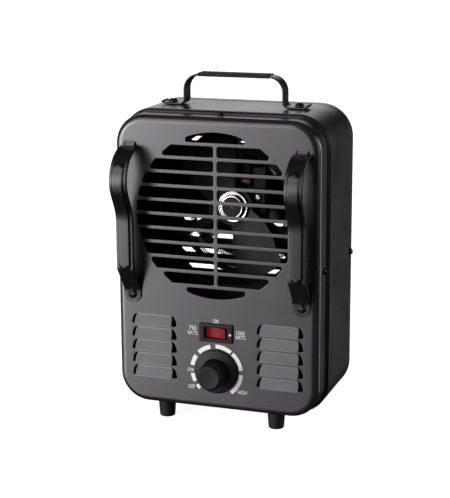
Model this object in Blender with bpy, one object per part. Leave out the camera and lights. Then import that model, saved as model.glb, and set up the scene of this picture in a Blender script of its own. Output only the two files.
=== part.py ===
"""Portable fan-forced ceramic heater in stamped sheet steel.

A shallow front pan carries the round grille, two banks of louvres, the switch and the
thermostat; a wrap-round case joins it to a slotted rear pan.  Behind the grille a shaded-pole
motor turns a two-blade fan in front of two nichrome coils held on ceramic bars.

Axes: X to the right of someone facing the grille, Y from front to back, Z up from the floor.
Lengths are written in millimetres and turned into metres by the builders below; "depth" is
measured back from the flat face of the front pan.
"""

import math

import bmesh
import bpy
from mathutils import Vector

MM = 0.001
GAP = 0.3  # clearance left between touching pieces

# Overall
FRONT_REACH = 31.9  # guard bars in front of the pan face
REAR_REACH = 106.2  # cord inlet behind it
DEPTH_MID = (REAR_REACH - FRONT_REACH) / 2
SHEET = 1.0

# Front pan
PAN_HALF_WIDTH = 95.0
PAN_HEIGHT = 267.0
PAN_BOTTOM = 15.0
PAN_CORNER = 27.0
PAN_EDGE_ROUND = 6.5
PAN_DEPTH = 22.5

# Case and rear pan
CASE_STEP = 3.0  # the case stands this far outside the front pan
CASE_FRONT = 25.2
CASE_REAR = 98.0
REAR_STEP = 1.3  # the rear pan laps this far outside the case
REAR_PAN_FRONT = 92.0
REAR_PAN_FACE = 103.0
REAR_EDGE_ROUND = 2.5
SHELF_Z = 98.2  # top of the shelf between the air path and the wiring
CORD_X = 62.0
CORD_Z = 46.0

# Grille
GRILLE_Z = 194.0
GRILLE_RADIUS = 75.0
ROW_COUNT = 10
ROW_PITCH = 12.86
SLOT_HEIGHT = 9.5
CENTRE_BAR = 3.5
SLOT_FILLET = 2.0

# Louvres
LOUVRE_COUNT = 5
LOUVRE_PITCH = 12.3
LOUVRE_FIRST_Z = 90.0  # bottom edge of the top louvre
LOUVRE_CENTRE_X = 59.8
LOUVRE_HALF_FLAP = 18.0
LOUVRE_HALF_HOLE = 21.4
LOUVRE_HEIGHT = 9.0
LOUVRE_LIFT = 4.6

# Guard bars
GUARD_X = 79.8
GUARD_WIDTH = 16.5
GUARD_TOP_Z = 254.3
GUARD_BOW_Z = 225.0
GUARD_BOW = 31.0
GUARD_STEP_Z = 189.0
GUARD_STANDOFF = 17.8
GUARD_KNEE_Z = 144.0
GUARD_FOOT_Z = 122.5
GUARD_SCREW_Z = 118.2
GUARD_SHEET = 1.2
GUARD_FLANGE = 2.4

# Handle
HANDLE_DEPTH = 56.5
HANDLE_HALF_SPAN = 47.6
HANDLE_HALF_FOOT = 68.8
HANDLE_SCREW_X = 60.2
HANDLE_WIDTH = 18.0
HANDLE_TOP_Z = 314.0
HANDLE_SHEET = 1.8
HANDLE_BEND = 14.0
HANDLE_FOOT_BEND = 5.0
GRIP_HALF = 34.0

# Controls
SWITCH_Z = 87.8
BEZEL = (32.4, 17.2)
ROCKER = (20.0, 9.4)
ROCKER_TILT = math.radians(9.0)
KNOB_Z = 51.7
SKIRT_RADIUS = 20.4
GRIP_RADIUS = 12.4
CAP_RADIUS = 10.9
KNOB_LENGTH = 22.0

# Fan and motor
FAN_RADIUS = 68.0
FAN_DEPTH = 50.0
BLADE_ANGLES = (-65.0, 115.0)
BLADE_PITCH = 10.0  # half the depth of a blade at its tip
STATOR_FRONT = 64.0
STATOR_REAR = 78.0
SHAFT_RADIUS = 2.5
BOLT_X = 21.0
BOLT_Z = 202.0

# Heater
COIL_DEPTH = 67.0
COIL_RINGS = (49.0, 61.0)
COIL_RADIUS = 3.2
WIRE_RADIUS = 0.55
BAR_ANGLES = (45.0, 135.0, 225.0, 315.0)

# Feet
FOOT_X = 52.9
FOOT_FRONT_DEPTH = 12.5
FOOT_REAR_DEPTH = 78.0


def material(name, colour, roughness, metallic):
    """Return a Principled material of one plain finish."""
    made = bpy.data.materials.new(name)
    made.use_nodes = True
    shader = made.node_tree.nodes["Principled BSDF"]
    shader.inputs["Base Color"].default_value = (*colour, 1.0)
    shader.inputs["Roughness"].default_value = roughness
    shader.inputs["Metallic"].default_value = metallic
    return made


# ---------------------------------------------------------------- outlines (flat point lists)


def rounded_rectangle(half_width, low, high, radius, steps=7):
    """Return (x, z) points counter-clockwise round a rectangle with rounded corners."""
    points = []
    for sx, sz, start in ((1, 1, 0), (-1, 1, 90), (-1, -1, 180), (1, -1, 270)):
        cx = sx * (half_width - radius)
        cz = high - radius if sz > 0 else low + radius
        for i in range(steps + 1):
            angle = math.radians(start + 90.0 * i / steps)
            points.append((cx + radius * math.cos(angle), cz + radius * math.sin(angle)))
    return points


def filleted(points, radius, steps=3):
    """Return the polygon with every corner rounded to the radius."""
    rounded = []
    count = len(points)
    for i in range(count):
        here = Vector(points[i])
        to_last = (Vector(points[i - 1]) - here).normalized()
        to_next = (Vector(points[(i + 1) % count]) - here).normalized()
        half = to_last.angle(to_next) / 2
        reach = radius / math.tan(half)
        centre = here + (to_last + to_next).normalized() * (radius / math.sin(half))
        first = here + to_last * reach - centre
        last = here + to_next * reach - centre
        for k in range(steps + 1):
            spoke = first.lerp(last, k / steps).normalized() * radius
            rounded.append(tuple(centre + spoke))
    return rounded


def circle(radius, count, x=0.0, z=0.0):
    """Return (x, z) points round a circle."""
    turn = 2 * math.pi / count
    return [(x + radius * math.cos(turn * i), z + radius * math.sin(turn * i)) for i in range(count)]


# ---------------------------------------------------------------- solids (vertices, faces)


def loft(rings, closed=False):
    """Skin a run of equal rings; ends are capped unless the run closes on itself."""
    count = len(rings[0])
    verts = [point for ring in rings for point in ring]
    faces = []
    spans = len(rings) if closed else len(rings) - 1
    for s in range(spans):
        a, b = s * count, ((s + 1) % len(rings)) * count
        for i in range(count):
            j = (i + 1) % count
            faces.append((a + i, a + j, b + j, b + i))
    if not closed:
        faces.append(tuple(range(count)))
        faces.append(tuple(range(len(verts) - count, len(verts))))
    return verts, faces


def prism_y(outline, front, back):
    """Extrude an (x, z) outline from one depth to another."""
    return loft([[(x, d, z) for x, z in outline] for d in (front, back)])


def prism_x(outline, left, right):
    """Extrude a (depth, z) outline from one x to another."""
    return loft([[(x, d, z) for d, z in outline] for x in (left, right)])


def prism_z(outline, low, high):
    """Extrude an (x, depth) outline from one height to another."""
    return loft([[(x, d, z) for x, d in outline] for z in (low, high)])


def box(x0, x1, d0, d1, z0, z1):
    """Return a rectangular block."""
    return prism_y([(x0, z0), (x1, z0), (x1, z1), (x0, z1)], d0, d1)


def turned(profile, count=24, axis="Y", closed=False):
    """Revolve (radius, along) points about an axis; the ends must be off the axis."""
    turn = 2 * math.pi / count
    rings = []
    for radius, along in profile:
        ring = []
        for i in range(count):
            c, s = radius * math.cos(turn * i), radius * math.sin(turn * i)
            ring.append({"Y": (c, along, s), "Z": (c, s, along), "X": (along, c, s)}[axis])
        rings.append(ring)
    return loft(rings, closed)


def moved(solid, x=0.0, d=0.0, z=0.0):
    """Shift a solid."""
    verts, faces = solid
    return [(p[0] + x, p[1] + d, p[2] + z) for p in verts], faces


def spun(solid, degrees):
    """Turn a solid about its own Y axis."""
    a = math.radians(degrees)
    c, s = math.cos(a), math.sin(a)
    verts, faces = solid
    return [(p[0] * c - p[2] * s, p[1], p[0] * s + p[2] * c) for p in verts], faces


def mirrored(solid):
    """Mirror a solid left to right."""
    verts, faces = solid
    return [(-p[0], p[1], p[2]) for p in verts], [tuple(reversed(f)) for f in faces]


def together(solids):
    """Gather separate solids into one vertex and face list."""
    verts, faces = [], []
    for more_verts, more_faces in solids:
        base = len(verts)
        verts.extend(more_verts)
        faces.extend(tuple(i + base for i in face) for face in more_faces)
    return verts, faces


# ---------------------------------------------------------------- objects


class Shop:
    """Makes the objects and keeps parts and cutters in their own collections."""

    def __init__(self):
        self.parts = self.collection("ceramic_heater")
        self.cutters = self.collection("cutters")
        self.cut_count = 0

    @staticmethod
    def collection(name):
        made = bpy.data.collections.new(name)
        bpy.context.scene.collection.children.link(made)
        return made

    def mesh(self, name, solid, at):
        """Build a mesh whose origin is the given (x, depth, z) point of the heater."""
        verts, faces = solid
        work = bmesh.new()
        made = [work.verts.new([(value - base) * MM for value, base in zip(p, at)]) for p in verts]
        for face in faces:
            work.faces.new([made[i] for i in face])
        bmesh.ops.recalc_face_normals(work, faces=work.faces)
        data = bpy.data.meshes.new(name)
        work.to_mesh(data)
        work.free()
        return data

    def place(self, name, data, at, collection):
        obj = bpy.data.objects.new(name, data)
        obj.location = (at[0] * MM, (at[1] - DEPTH_MID) * MM, at[2] * MM)
        collection.objects.link(obj)
        return obj

    def part(self, name, solid, finish, at=(0.0, 0.0, 0.0), sharp=35.0):
        """Add one piece of the heater."""
        data = self.mesh(name, solid, at)
        data.materials.append(finish)
        obj = self.place(name, data, at, self.parts)
        data.shade_smooth()
        data.set_sharp_from_angle(angle=math.radians(sharp))
        return obj

    def tool(self, solid):
        """Return the solid as a cutter, which is never drawn."""
        self.cut_count += 1
        name = f"cutter_{self.cut_count:02d}"
        made = self.place(name, self.mesh(name, solid, (0.0, 0.0, 0.0)), (0.0, 0.0, 0.0), self.cutters)
        made.hide_render = True
        made.display_type = "WIRE"
        return made

    def apply_tool(self, obj, tool, operation):
        """Cut the tool out of the object, weld it on or keep what they share."""
        step = obj.modifiers.new(tool.name, "BOOLEAN")
        step.operation = operation
        step.solver = "EXACT"
        step.object = tool

    def combine(self, obj, solid, operation):
        self.apply_tool(obj, self.tool(solid), operation)

    def cut(self, obj, *solids):
        self.combine(obj, together(solids), "DIFFERENCE")

    def weld(self, obj, solid):
        self.combine(obj, solid, "UNION")


# ---------------------------------------------------------------- sheet-metal shell


def case_outline(grow, steps=7):
    """Return the rounded outline of the front pan grown outward all round."""
    return rounded_rectangle(
        PAN_HALF_WIDTH + grow,
        PAN_BOTTOM - grow,
        PAN_BOTTOM + PAN_HEIGHT + grow,
        PAN_CORNER + grow,
        steps,
    )


def pan_rings(grow, face, rim, round_over, inner):
    """Return the rings of a pan, from its flat face over the edge, down the wall and back inside."""
    toward = 1.0 if rim > face else -1.0
    rings = []
    skins = ((round_over, 0.0, face), (round_over - inner, inner, face + toward * inner))
    for radius, inset, start in skins:
        side = []
        for i in range(5):
            a = math.radians(90.0 * i / 4)
            back = radius * (1 - math.cos(a))
            draw = radius * (1 - math.sin(a))
            side.append((grow - inset - draw, start + toward * back))
        side.append((grow - inset, rim))
        rings.append(side)
    path = rings[0] + rings[1][::-1]
    return round_the_case(path)


def grille_slots():
    """Return the cutters of the grille: ten split rows and a lens above and below them."""
    solids = []
    for row in range(ROW_COUNT):
        middle = ((ROW_COUNT - 1) / 2 - row) * ROW_PITCH
        low, high = middle - SLOT_HEIGHT / 2, middle + SLOT_HEIGHT / 2
        reach = [math.sqrt(GRILLE_RADIUS**2 - h * h) for h in (low, high)]
        outline = [(CENTRE_BAR / 2, low), (reach[0], low)]
        if low * high < 0:
            outline.append((GRILLE_RADIUS, 0.0))
        outline += [(reach[1], high), (CENTRE_BAR / 2, high)]
        half = prism_y([(x, GRILLE_Z + z) for x, z in filleted(outline, SLOT_FILLET)], -4.0, 6.0)
        solids += [half, mirrored(half)]
    base = ROW_COUNT / 2 * ROW_PITCH + (ROW_PITCH - SLOT_HEIGHT) / 2
    start = math.asin(base / GRILLE_RADIUS) + math.radians(5.5)
    sweep = math.pi - 2 * start
    arc = [start + sweep * i / 8 for i in range(9)]
    lens = [(GRILLE_RADIUS * math.cos(a), GRILLE_RADIUS * math.sin(a)) for a in arc]
    end = lens[0][0] - 1.2
    lens = [(end, base)] + lens + [(-end, base)]
    for flip in (1, -1):
        outline = [(x, GRILLE_Z + flip * z) for x, z in lens]
        solids.append(prism_y(outline, -4.0, 6.0))
    return solids


def louvre_holes():
    """Return the cutters of the ten louvre openings, wider at the foot than at the hinge."""
    solids = []
    for side in (-1, 1):
        for row in range(LOUVRE_COUNT):
            low = LOUVRE_FIRST_Z - row * LOUVRE_PITCH
            spread = LOUVRE_HALF_HOLE - LOUVRE_HALF_FLAP
            outline = [(-LOUVRE_HALF_HOLE, low), (LOUVRE_HALF_HOLE, low)]
            for i in range(1, 6):
                a = math.radians(90.0 * i / 5)
                outline.append((LOUVRE_HALF_FLAP + spread * math.cos(a), low + LOUVRE_HEIGHT * math.sin(a)))
            outline += [(-x, z) for x, z in outline[:1:-1]]
            centre = side * LOUVRE_CENTRE_X
            solids.append(prism_y([(centre + x, z) for x, z in outline], -4.0, 6.0))
    return solids


def louvre_flaps():
    """Return the ten flaps, hinged at the top and pushed out at the bottom."""
    solids = []
    for side in (-1, 1):
        centre = side * LOUVRE_CENTRE_X
        for row in range(LOUVRE_COUNT):
            low = LOUVRE_FIRST_Z - row * LOUVRE_PITCH
            top = low + LOUVRE_HEIGHT + 1.6
            profile = [(0.12, top), (0.88, top), (-LOUVRE_LIFT + 0.9, low + 0.1), (-LOUVRE_LIFT, low + 0.3)]
            half = LOUVRE_HALF_FLAP - 0.4
            solids.append(prism_x(profile, centre - half, centre + half))
    return solids


def round_hole(x, z, radius, front=-4.0, back=6.0, count=16):
    """Return a cutter for a round hole through the front pan."""
    return prism_y(circle(radius, count, x, z), front, back)


def upright_hole(x, depth, radius, low=6.0, high=22.0, count=16):
    """Return a cutter for a hole through the floor or the roof of the case."""
    return moved(turned([(radius, low), (radius, high)], count, "Z"), x, depth, 0.0)


FLANGE_SCREWS = (("top", 90.0), ("left", 180.0), ("right", 0.0))
SIDE_SCREW_Z = PAN_BOTTOM + PAN_HEIGHT / 2


def flange_point(angle, grow):
    """Return the (x, z) point on the flange facing the angle, out at the given growth."""
    if angle == 90.0:
        return 0.0, PAN_BOTTOM + PAN_HEIGHT + grow
    return math.cos(math.radians(angle)) * (PAN_HALF_WIDTH + grow), SIDE_SCREW_Z


def flange_hole(angle, depth, radius=1.9):
    """Return a cutter for a screw hole through the pan walls at an angle round the case."""
    hole = turned([(radius, -12.0), (radius, 12.0)], 14, "X")
    x, z = flange_point(angle, 0.0)
    return moved(spun(hole, angle), x, depth, z)


def round_the_case(path):
    """Return the rings that carry a (growth, depth) section round the case."""
    return [[(x, d, z) for x, z in case_outline(g)] for g, d in path]


def build_shell(shop, paint, black):
    skin = loft(pan_rings(0.0, 0.0, PAN_DEPTH, PAN_EDGE_ROUND, SHEET))
    pan = shop.part("front_panel", skin, paint, (0.0, 0.0, PAN_BOTTOM))
    shop.cut(pan, *grille_slots())
    holes = louvre_holes()
    holes.append(box(-14.6, 14.6, -4.0, 6.0, SWITCH_Z - 7.0, SWITCH_Z + 7.0))
    holes.append(round_hole(0.0, KNOB_Z, 5.4))
    for side in (-1, 1):
        x = side * GUARD_X
        holes.append(round_hole(x, GUARD_SCREW_Z, 2.4))
        holes.append(box(x - 6.0, x + 6.0, -4.0, 6.0, GUARD_TOP_Z - 0.4, GUARD_TOP_Z + 2.0))
        holes.append(upright_hole(side * FOOT_X, FOOT_FRONT_DEPTH, 3.3))
    for _, angle in FLANGE_SCREWS:
        holes.append(flange_hole(angle, 16.0))
    shop.cut(pan, *holes)
    shop.weld(pan, together(louvre_flaps()))

    inside = -SHEET - GAP
    outside = CASE_STEP - SHEET - GAP
    path = [(inside, 9.0), (inside, PAN_DEPTH + 0.2), (outside, CASE_FRONT), (outside, 44.0)]
    path += [(g - SHEET, d) for g, d in ((outside, 44.0), (outside, CASE_FRONT + 0.4))]
    path += [(inside - SHEET, PAN_DEPTH + 0.6), (inside - SHEET, 9.0)]
    ring = shop.part("joining_ring", loft(round_the_case(path), True), paint)
    holes = [flange_hole(angle, 16.0) for _, angle in FLANGE_SCREWS]
    holes += [upright_hole(side * FOOT_X, FOOT_FRONT_DEPTH, 4.6) for side in (-1, 1)]
    shop.cut(ring, *holes)

    path = [(CASE_STEP - 0.7, CASE_FRONT), (CASE_STEP, CASE_FRONT + 0.9), (CASE_STEP, CASE_REAR)]
    path += [(CASE_STEP - SHEET, CASE_REAR), (CASE_STEP - SHEET, CASE_FRONT)]
    case = shop.part("case_wrap", loft(round_the_case(path), True), paint)
    holes = [flange_hole(angle, 95.4) for _, angle in FLANGE_SCREWS[1:]]
    for side in (-1, 1):
        holes.append(upright_hole(side * FOOT_X, FOOT_REAR_DEPTH, 3.3))
        holes.append(upright_hole(side * HANDLE_SCREW_X, HANDLE_DEPTH, 2.6, 270.0, 296.0, 14))
    shop.cut(case, *holes)

    grow = CASE_STEP + REAR_STEP
    skin = loft(pan_rings(grow, REAR_PAN_FACE, REAR_PAN_FRONT, REAR_EDGE_ROUND, SHEET))
    rear = shop.part("rear_panel", skin, paint)
    slots = [flange_hole(angle, 95.4) for _, angle in FLANGE_SCREWS[1:]]
    for z, half in rear_slot_rows():
        outline = filleted([(5 - half, z - 2.1), (half - 5, z - 2.1), (half, z + 2.1), (-half, z + 2.1)], 0.7, 2)
        slots.append(prism_y(outline, 97.0, 108.0))
    slots.append(round_hole(CORD_X, CORD_Z, 7.3, 97.0, 108.0, 18))
    shop.cut(rear, *slots)

    shroud = shop.part("fan_shroud", shroud_solid(), black)
    shop.cut(shroud, round_hole(0.0, GRILLE_Z, 72.0, 30.0, 50.0, 40))
    top, low, front, back = SHELF_Z, SHELF_Z - 1.2, 47.0, REAR_PAN_FACE - SHEET - GAP
    angle = [(front, top), (back, top), (back, low), (front + 1.2, low)]
    angle += [(front + 1.2, top - 8.2), (front, top - 8.2)]
    shelf = shop.part("divider_shelf", prism_x(angle, -96.6, 96.6), black)
    shop.cut(shelf, upright_hole(62.0, 62.0, 3.0, 80.0, 110.0, 14))


def rear_slot_rows():
    """Return the height and half length of each air slot in the rear pan."""
    pitch = 15.6
    lower = [(121.5 + pitch * i, 72.0) for i in range(1, 4)]
    lower.append((121.5, 65.0))
    upper = [(121.5 + pitch * 8, 64.0), (121.5 + pitch * 9, 48.0)]
    return lower + upper


def shroud_solid():
    """Return the plate the fan turns in, with its edge turned forward."""
    rings = []
    for inset, depth in ((1.6, 41.2), (1.6, 36.0), (2.6, 36.0), (2.6, 40.2)):
        top = PAN_BOTTOM + PAN_HEIGHT - inset + CASE_STEP - SHEET
        half = PAN_HALF_WIDTH - inset + CASE_STEP - SHEET
        outline = rounded_rectangle(half, SHELF_Z + inset, top, PAN_CORNER - inset + CASE_STEP - SHEET)
        rings.append([(x, depth, z) for x, z in outline])
    return loft(rings)


# ---------------------------------------------------------------- screws


def screw(shop, name, finish, at, angle, head=4.2, rise=2.3, shank=1.6, length=6.0, tilt=None):
    """Add a domed cross-recess screw whose head faces the given direction."""
    profile = [(head * 0.35, -rise), (head * 0.72, -rise * 0.78), (head * 0.95, -rise * 0.35), (head, 0.0)]
    profile += [(shank, 0.0), (shank, length)]
    solid = turned(profile, 14, "Y")
    arm, half = head * 0.55, head * 0.14
    cross = [
        box(-arm, arm, -rise - 1.0, -rise + 0.9, -half, half),
        box(-half, half, -rise - 1.0, -rise + 0.9, -arm, arm),
    ]

    def turned_to(s):
        verts, faces = s
        if angle is None:
            return verts, faces
        a = math.radians(angle)
        ux, uz = math.cos(a), math.sin(a)
        return [(-p[1] * ux - p[0] * uz, p[2], -p[1] * uz + p[0] * ux) for p in verts], faces

    obj = shop.part(name, moved(turned_to(solid), *at), finish, at)
    for bar in cross:
        shop.cut(obj, moved(turned_to(bar), *at))
    return obj


# ---------------------------------------------------------------- guard bars and handle


def guard_depth(z):
    """Return how far the front of a guard bar stands off the pan at a height."""
    if z >= GUARD_BOW_Z:
        rise = (z - GUARD_BOW_Z) / (GUARD_TOP_Z + 0.35 - GUARD_BOW_Z)
        return GUARD_BOW * math.sqrt(max(0.0, 1 - rise * rise))
    if z >= GUARD_STEP_Z:
        t = (GUARD_BOW_Z - z) / (GUARD_BOW_Z - GUARD_STEP_Z)
        return GUARD_STANDOFF + (GUARD_BOW - GUARD_STANDOFF) * 0.5 * (1 + math.cos(math.pi * t))
    if z >= GUARD_KNEE_Z:
        return GUARD_STANDOFF
    if z >= GUARD_FOOT_Z:
        t = (GUARD_KNEE_Z - z) / (GUARD_KNEE_Z - GUARD_FOOT_Z)
        return GUARD_STANDOFF + (GUARD_SHEET + GAP - GUARD_STANDOFF) * t
    return GUARD_SHEET + GAP


def guard_heights():
    """Return the heights the side view of a guard bar is drawn through, from the top down."""
    span = GUARD_TOP_Z + 0.3 - GUARD_BOW_Z
    heights = [GUARD_BOW_Z + span * math.cos(math.radians(a)) for a in range(6, 91, 12)]
    heights += [GUARD_BOW_Z - (GUARD_BOW_Z - GUARD_STEP_Z) * i / 8 for i in range(1, 9)]
    return heights + [GUARD_KNEE_Z, GUARD_FOOT_Z]


def thickened(path, thick):
    """Return the closed (depth, z) outline of a strip of even thickness behind a path."""
    behind = []
    for i in range(len(path)):
        a = Vector(path[max(0, i - 1)])
        b = Vector(path[min(len(path) - 1, i + 1)])
        run = (b - a).normalized()
        normal = Vector((-run.y, run.x))
        if normal.x < 0:
            normal = -normal
        behind.append(tuple(Vector(path[i]) + normal * thick))
    return path + behind[::-1]


def build_guard(shop, side, name, paint):
    x0, x1 = side * GUARD_X - GUARD_WIDTH / 2, side * GUARD_X + GUARD_WIDTH / 2
    front = [(-guard_depth(z), z) for z in guard_heights()]
    bottom = GUARD_SCREW_Z - GUARD_WIDTH / 2
    path = [(-2.2, GUARD_TOP_Z + 1.2)] + front[1:] + [(-guard_depth(bottom), bottom)]
    strip = thickened(path, GUARD_SHEET)
    at = (side * GUARD_X, 0.0, GUARD_SCREW_Z)
    bar = shop.part(name, prism_x(strip, x0, x1), paint, at)
    # Its long edges are turned back a little.
    edge = thickened([(d + 0.25, z) for d, z in front if -d > 5.0], GUARD_FLANGE - 0.25)
    for x in (x0 + 0.02, x1 - GUARD_SHEET - 0.02):
        shop.weld(bar, prism_x(edge, x, x + GUARD_SHEET))
    middle = side * GUARD_X
    shop.weld(bar, box(middle - 5.4, middle + 5.4, -2.6, 3.0, GUARD_TOP_Z + 0.05, GUARD_TOP_Z + 1.25))
    rib_path = [(d - 0.9, z) for d, z in front if 140.0 < z < 244.0]
    rib_path = [(-guard_depth(248.0) - 0.9, 248.0)] + rib_path + [(-GUARD_STANDOFF - 0.9, 143.0)]
    # A raised rib with round ends runs down the face.
    rib = prism_x(thickened(rib_path, 1.4), middle - 5.2, middle + 5.2)
    stadium = rounded_rectangle(5.2, 144.6, 242.6, 5.15, 5)
    trim = shop.tool(prism_y([(x + middle, z) for x, z in stadium], -50.0, -10.0))
    shop.combine(trim, rib, "INTERSECT")
    shop.apply_tool(bar, trim, "UNION")
    # The foot end is half round and drilled for its screw.
    half = GUARD_WIDTH / 2
    corner = [(x0 - 2, bottom - 3), (x1 + 2, bottom - 3), (x1 + 2, GUARD_SCREW_Z)]
    for i in range(13):
        a = -math.pi * i / 12
        corner.append((middle + half * math.cos(a), GUARD_SCREW_Z + half * math.sin(a)))
    corner.append((x0 - 2, GUARD_SCREW_Z))
    shop.cut(bar, prism_y(corner, -5.0, 2.0))
    shop.cut(bar, round_hole(middle, GUARD_SCREW_Z, 2.4))


def handle_path():
    """Return the (x, z) centre path of the handle strap from one upturned toe to the other."""
    foot_z = PAN_BOTTOM + PAN_HEIGHT + CASE_STEP + GAP + HANDLE_SHEET / 2
    top = HANDLE_TOP_Z - HANDLE_SHEET / 2
    leg = HANDLE_HALF_SPAN - HANDLE_SHEET / 2
    toe = ((0.0, 2.2), (-1.8, 0.5), (-4.2, 0.0))
    right = [(HANDLE_HALF_FOOT + dx, foot_z + dz) for dx, dz in toe]
    radius = HANDLE_FOOT_BEND
    for i in range(5):
        a = math.radians(-90.0 - 22.5 * i)
        right.append((leg + radius + radius * math.cos(a), foot_z + radius + radius * math.sin(a)))
    radius = HANDLE_BEND
    for i in range(8):
        a = math.radians(90.0 * i / 7)
        right.append((leg - radius + radius * math.cos(a), top - radius + radius * math.sin(a)))
    return right + [(-x, z) for x, z in right[::-1]]


def build_handle(shop, paint, rubber, plated):
    path = handle_path()
    outer, inner = [], []
    for i in range(len(path)):
        a, b = Vector(path[max(0, i - 1)]), Vector(path[min(len(path) - 1, i + 1)])
        run = (b - a).normalized()
        normal = Vector((-run.y, run.x)) * HANDLE_SHEET / 2
        outer.append(tuple(Vector(path[i]) + normal))
        inner.append(tuple(Vector(path[i]) - normal))
    d0, d1 = HANDLE_DEPTH - HANDLE_WIDTH / 2, HANDLE_DEPTH + HANDLE_WIDTH / 2
    band = prism_y(outer + inner[::-1], d0, d1)
    strap = shop.part("handle_strap", band, paint, (0.0, HANDLE_DEPTH, PAN_BOTTOM + PAN_HEIGHT))
    for side in (-1, 1):
        shop.cut(strap, upright_hole(side * HANDLE_SCREW_X, HANDLE_DEPTH, 2.6, 270.0, 296.0, 14))

    middle = HANDLE_TOP_Z - HANDLE_SHEET / 2
    rings = []
    ribs = 17
    half_w, half_t = HANDLE_WIDTH / 2 + 1.4, 2.6
    for i in range(2 * ribs + 1):
        x = -GRIP_HALF + 2 * GRIP_HALF * i / (2 * ribs)
        swell = 0.55 if i % 2 else 0.0
        low, high = middle - half_t - swell * 0.3, middle + half_t + swell
        outline = rounded_rectangle(half_w + swell * 0.4, low, high, 2.3, 2)
        rings.append([(x, HANDLE_DEPTH + w, z) for w, z in outline])
    grip = shop.part("handle_grip", loft(rings), rubber, (0.0, HANDLE_DEPTH, middle))
    half_slot = HANDLE_SHEET / 2 + GAP
    shop.cut(grip, box(-60.0, 60.0, d0 - GAP, d1 + GAP, middle - half_slot, middle + half_slot))

    foot_top = PAN_BOTTOM + PAN_HEIGHT + CASE_STEP + GAP + HANDLE_SHEET
    nut_top = PAN_BOTTOM + PAN_HEIGHT + CASE_STEP - SHEET - GAP
    for side, word in ((-1, "left"), (1, "right")):
        x = side * HANDLE_SCREW_X
        at = (x, HANDLE_DEPTH, foot_top + GAP)
        screw(shop, f"handle_screw_{word}", plated, at, 90.0, 4.4, 2.8, 2.0, 11.0)
        nut = prism_z(circle(4.0, 6, x, HANDLE_DEPTH), nut_top - 3.0, nut_top)
        nut = shop.part(f"handle_nut_{word}", nut, plated, (x, HANDLE_DEPTH, nut_top))
        shop.cut(nut, upright_hole(x, HANDLE_DEPTH, 2.35, 270.0, 296.0, 14))


# ---------------------------------------------------------------- controls


def build_controls(shop, plastic, red, brass, grey):
    half_w, half_h = BEZEL[0] / 2, BEZEL[1] / 2
    rings = []
    for inset, depth in ((1.6, -2.0), (0.0, -1.2), (0.0, -GAP)):
        reach = half_h - inset
        outline = rounded_rectangle(half_w - inset, SWITCH_Z - reach, SWITCH_Z + reach, 1.2, 2)
        rings.append([(x, depth, z) for x, z in outline])
    for depth in (-GAP, 18.0):
        outline = rounded_rectangle(14.2, SWITCH_Z - 6.6, SWITCH_Z + 6.6, 1.2, 2)
        rings.append([(x, depth, z) for x, z in outline])
    housing = shop.part("switch_housing", loft(rings), plastic, (0.0, 0.0, SWITCH_Z))
    shop.cut(housing, box(-11.3, 11.3, -6.0, 11.0, SWITCH_Z - 5.2, SWITCH_Z + 5.2))

    pivot = 3.6
    half = ROCKER[0] / 2
    face = [(-half, 4.6), (-half * 0.55, 3.8), (0.0, 3.4), (half * 0.55, 3.8), (half, 4.6)]
    body = [(half, 1.0), (half * 0.5, -2.4), (-half * 0.5, -2.4), (-half, 1.0)]
    c, s = math.cos(ROCKER_TILT), math.sin(ROCKER_TILT)
    outline = [(x * c - w * s, pivot - (x * s + w * c)) for x, w in face + body]
    rocker = prism_z(outline, SWITCH_Z - ROCKER[1] / 2, SWITCH_Z + ROCKER[1] / 2)
    shop.part("switch_rocker", rocker, red, (0.0, pivot, SWITCH_Z))

    body = box(-17.0, 17.0, 3.7, 23.0, KNOB_Z - 13.0, KNOB_Z + 13.0)
    thermostat = shop.part("thermostat_body", body, grey, (0.0, 3.7, KNOB_Z))
    shop.weld(thermostat, moved(turned([(4.9, -0.6), (4.9, 6.0)], 20, "Y"), 0.0, 0.0, KNOB_Z))
    shop.cut(thermostat, moved(turned([(3.2, -4.0), (3.2, 15.0)], 16, "Y"), 0.0, 0.0, KNOB_Z))
    nut = prism_y(circle(8.2, 6, 0.0, KNOB_Z), SHEET + GAP, 3.4)
    nut = shop.part("thermostat_nut", nut, brass, (0.0, SHEET + GAP, KNOB_Z))
    shop.cut(nut, moved(turned([(5.2, -4.0), (5.2, 15.0)], 20, "Y"), 0.0, 0.0, KNOB_Z))
    shaft = moved(turned([(2.9, -16.0), (2.9, 14.0)], 16, "Y"), 0.0, 0.0, KNOB_Z)
    shop.part("thermostat_shaft", shaft, brass, (0.0, 0.0, KNOB_Z))

    count = 72
    ridged = ((GRIP_RADIUS, -4.6), (CAP_RADIUS + 0.5, -KNOB_LENGTH + 1.6))
    rings = []
    for radius, along in ((SKIRT_RADIUS, -1.2), (SKIRT_RADIUS, -2.6), (SKIRT_RADIUS - 1.6, -3.7)):
        rings.append([(x, along, z) for x, z in circle(radius, count, 0.0, KNOB_Z)])
    for radius, along in ridged:
        ring = []
        for i in range(count):
            a = 2 * math.pi * i / count
            r = radius + (0.0, 0.55, 0.0)[i % 3]
            ring.append((r * math.cos(a), along, KNOB_Z + r * math.sin(a)))
        rings.append(ring)
    for radius, along in ((CAP_RADIUS, -KNOB_LENGTH + 1.0), (CAP_RADIUS - 1.2, -KNOB_LENGTH)):
        rings.append([(x, along, z) for x, z in circle(radius, count, 0.0, KNOB_Z)])
    knob = shop.part("thermostat_knob", loft(rings), plastic, (0.0, 0.0, KNOB_Z), 50.0)
    shop.cut(knob, moved(turned([(3.2, -16.3), (3.2, 2.0)], 16, "Y"), 0.0, 0.0, KNOB_Z))


# ---------------------------------------------------------------- motor and fan


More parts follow.
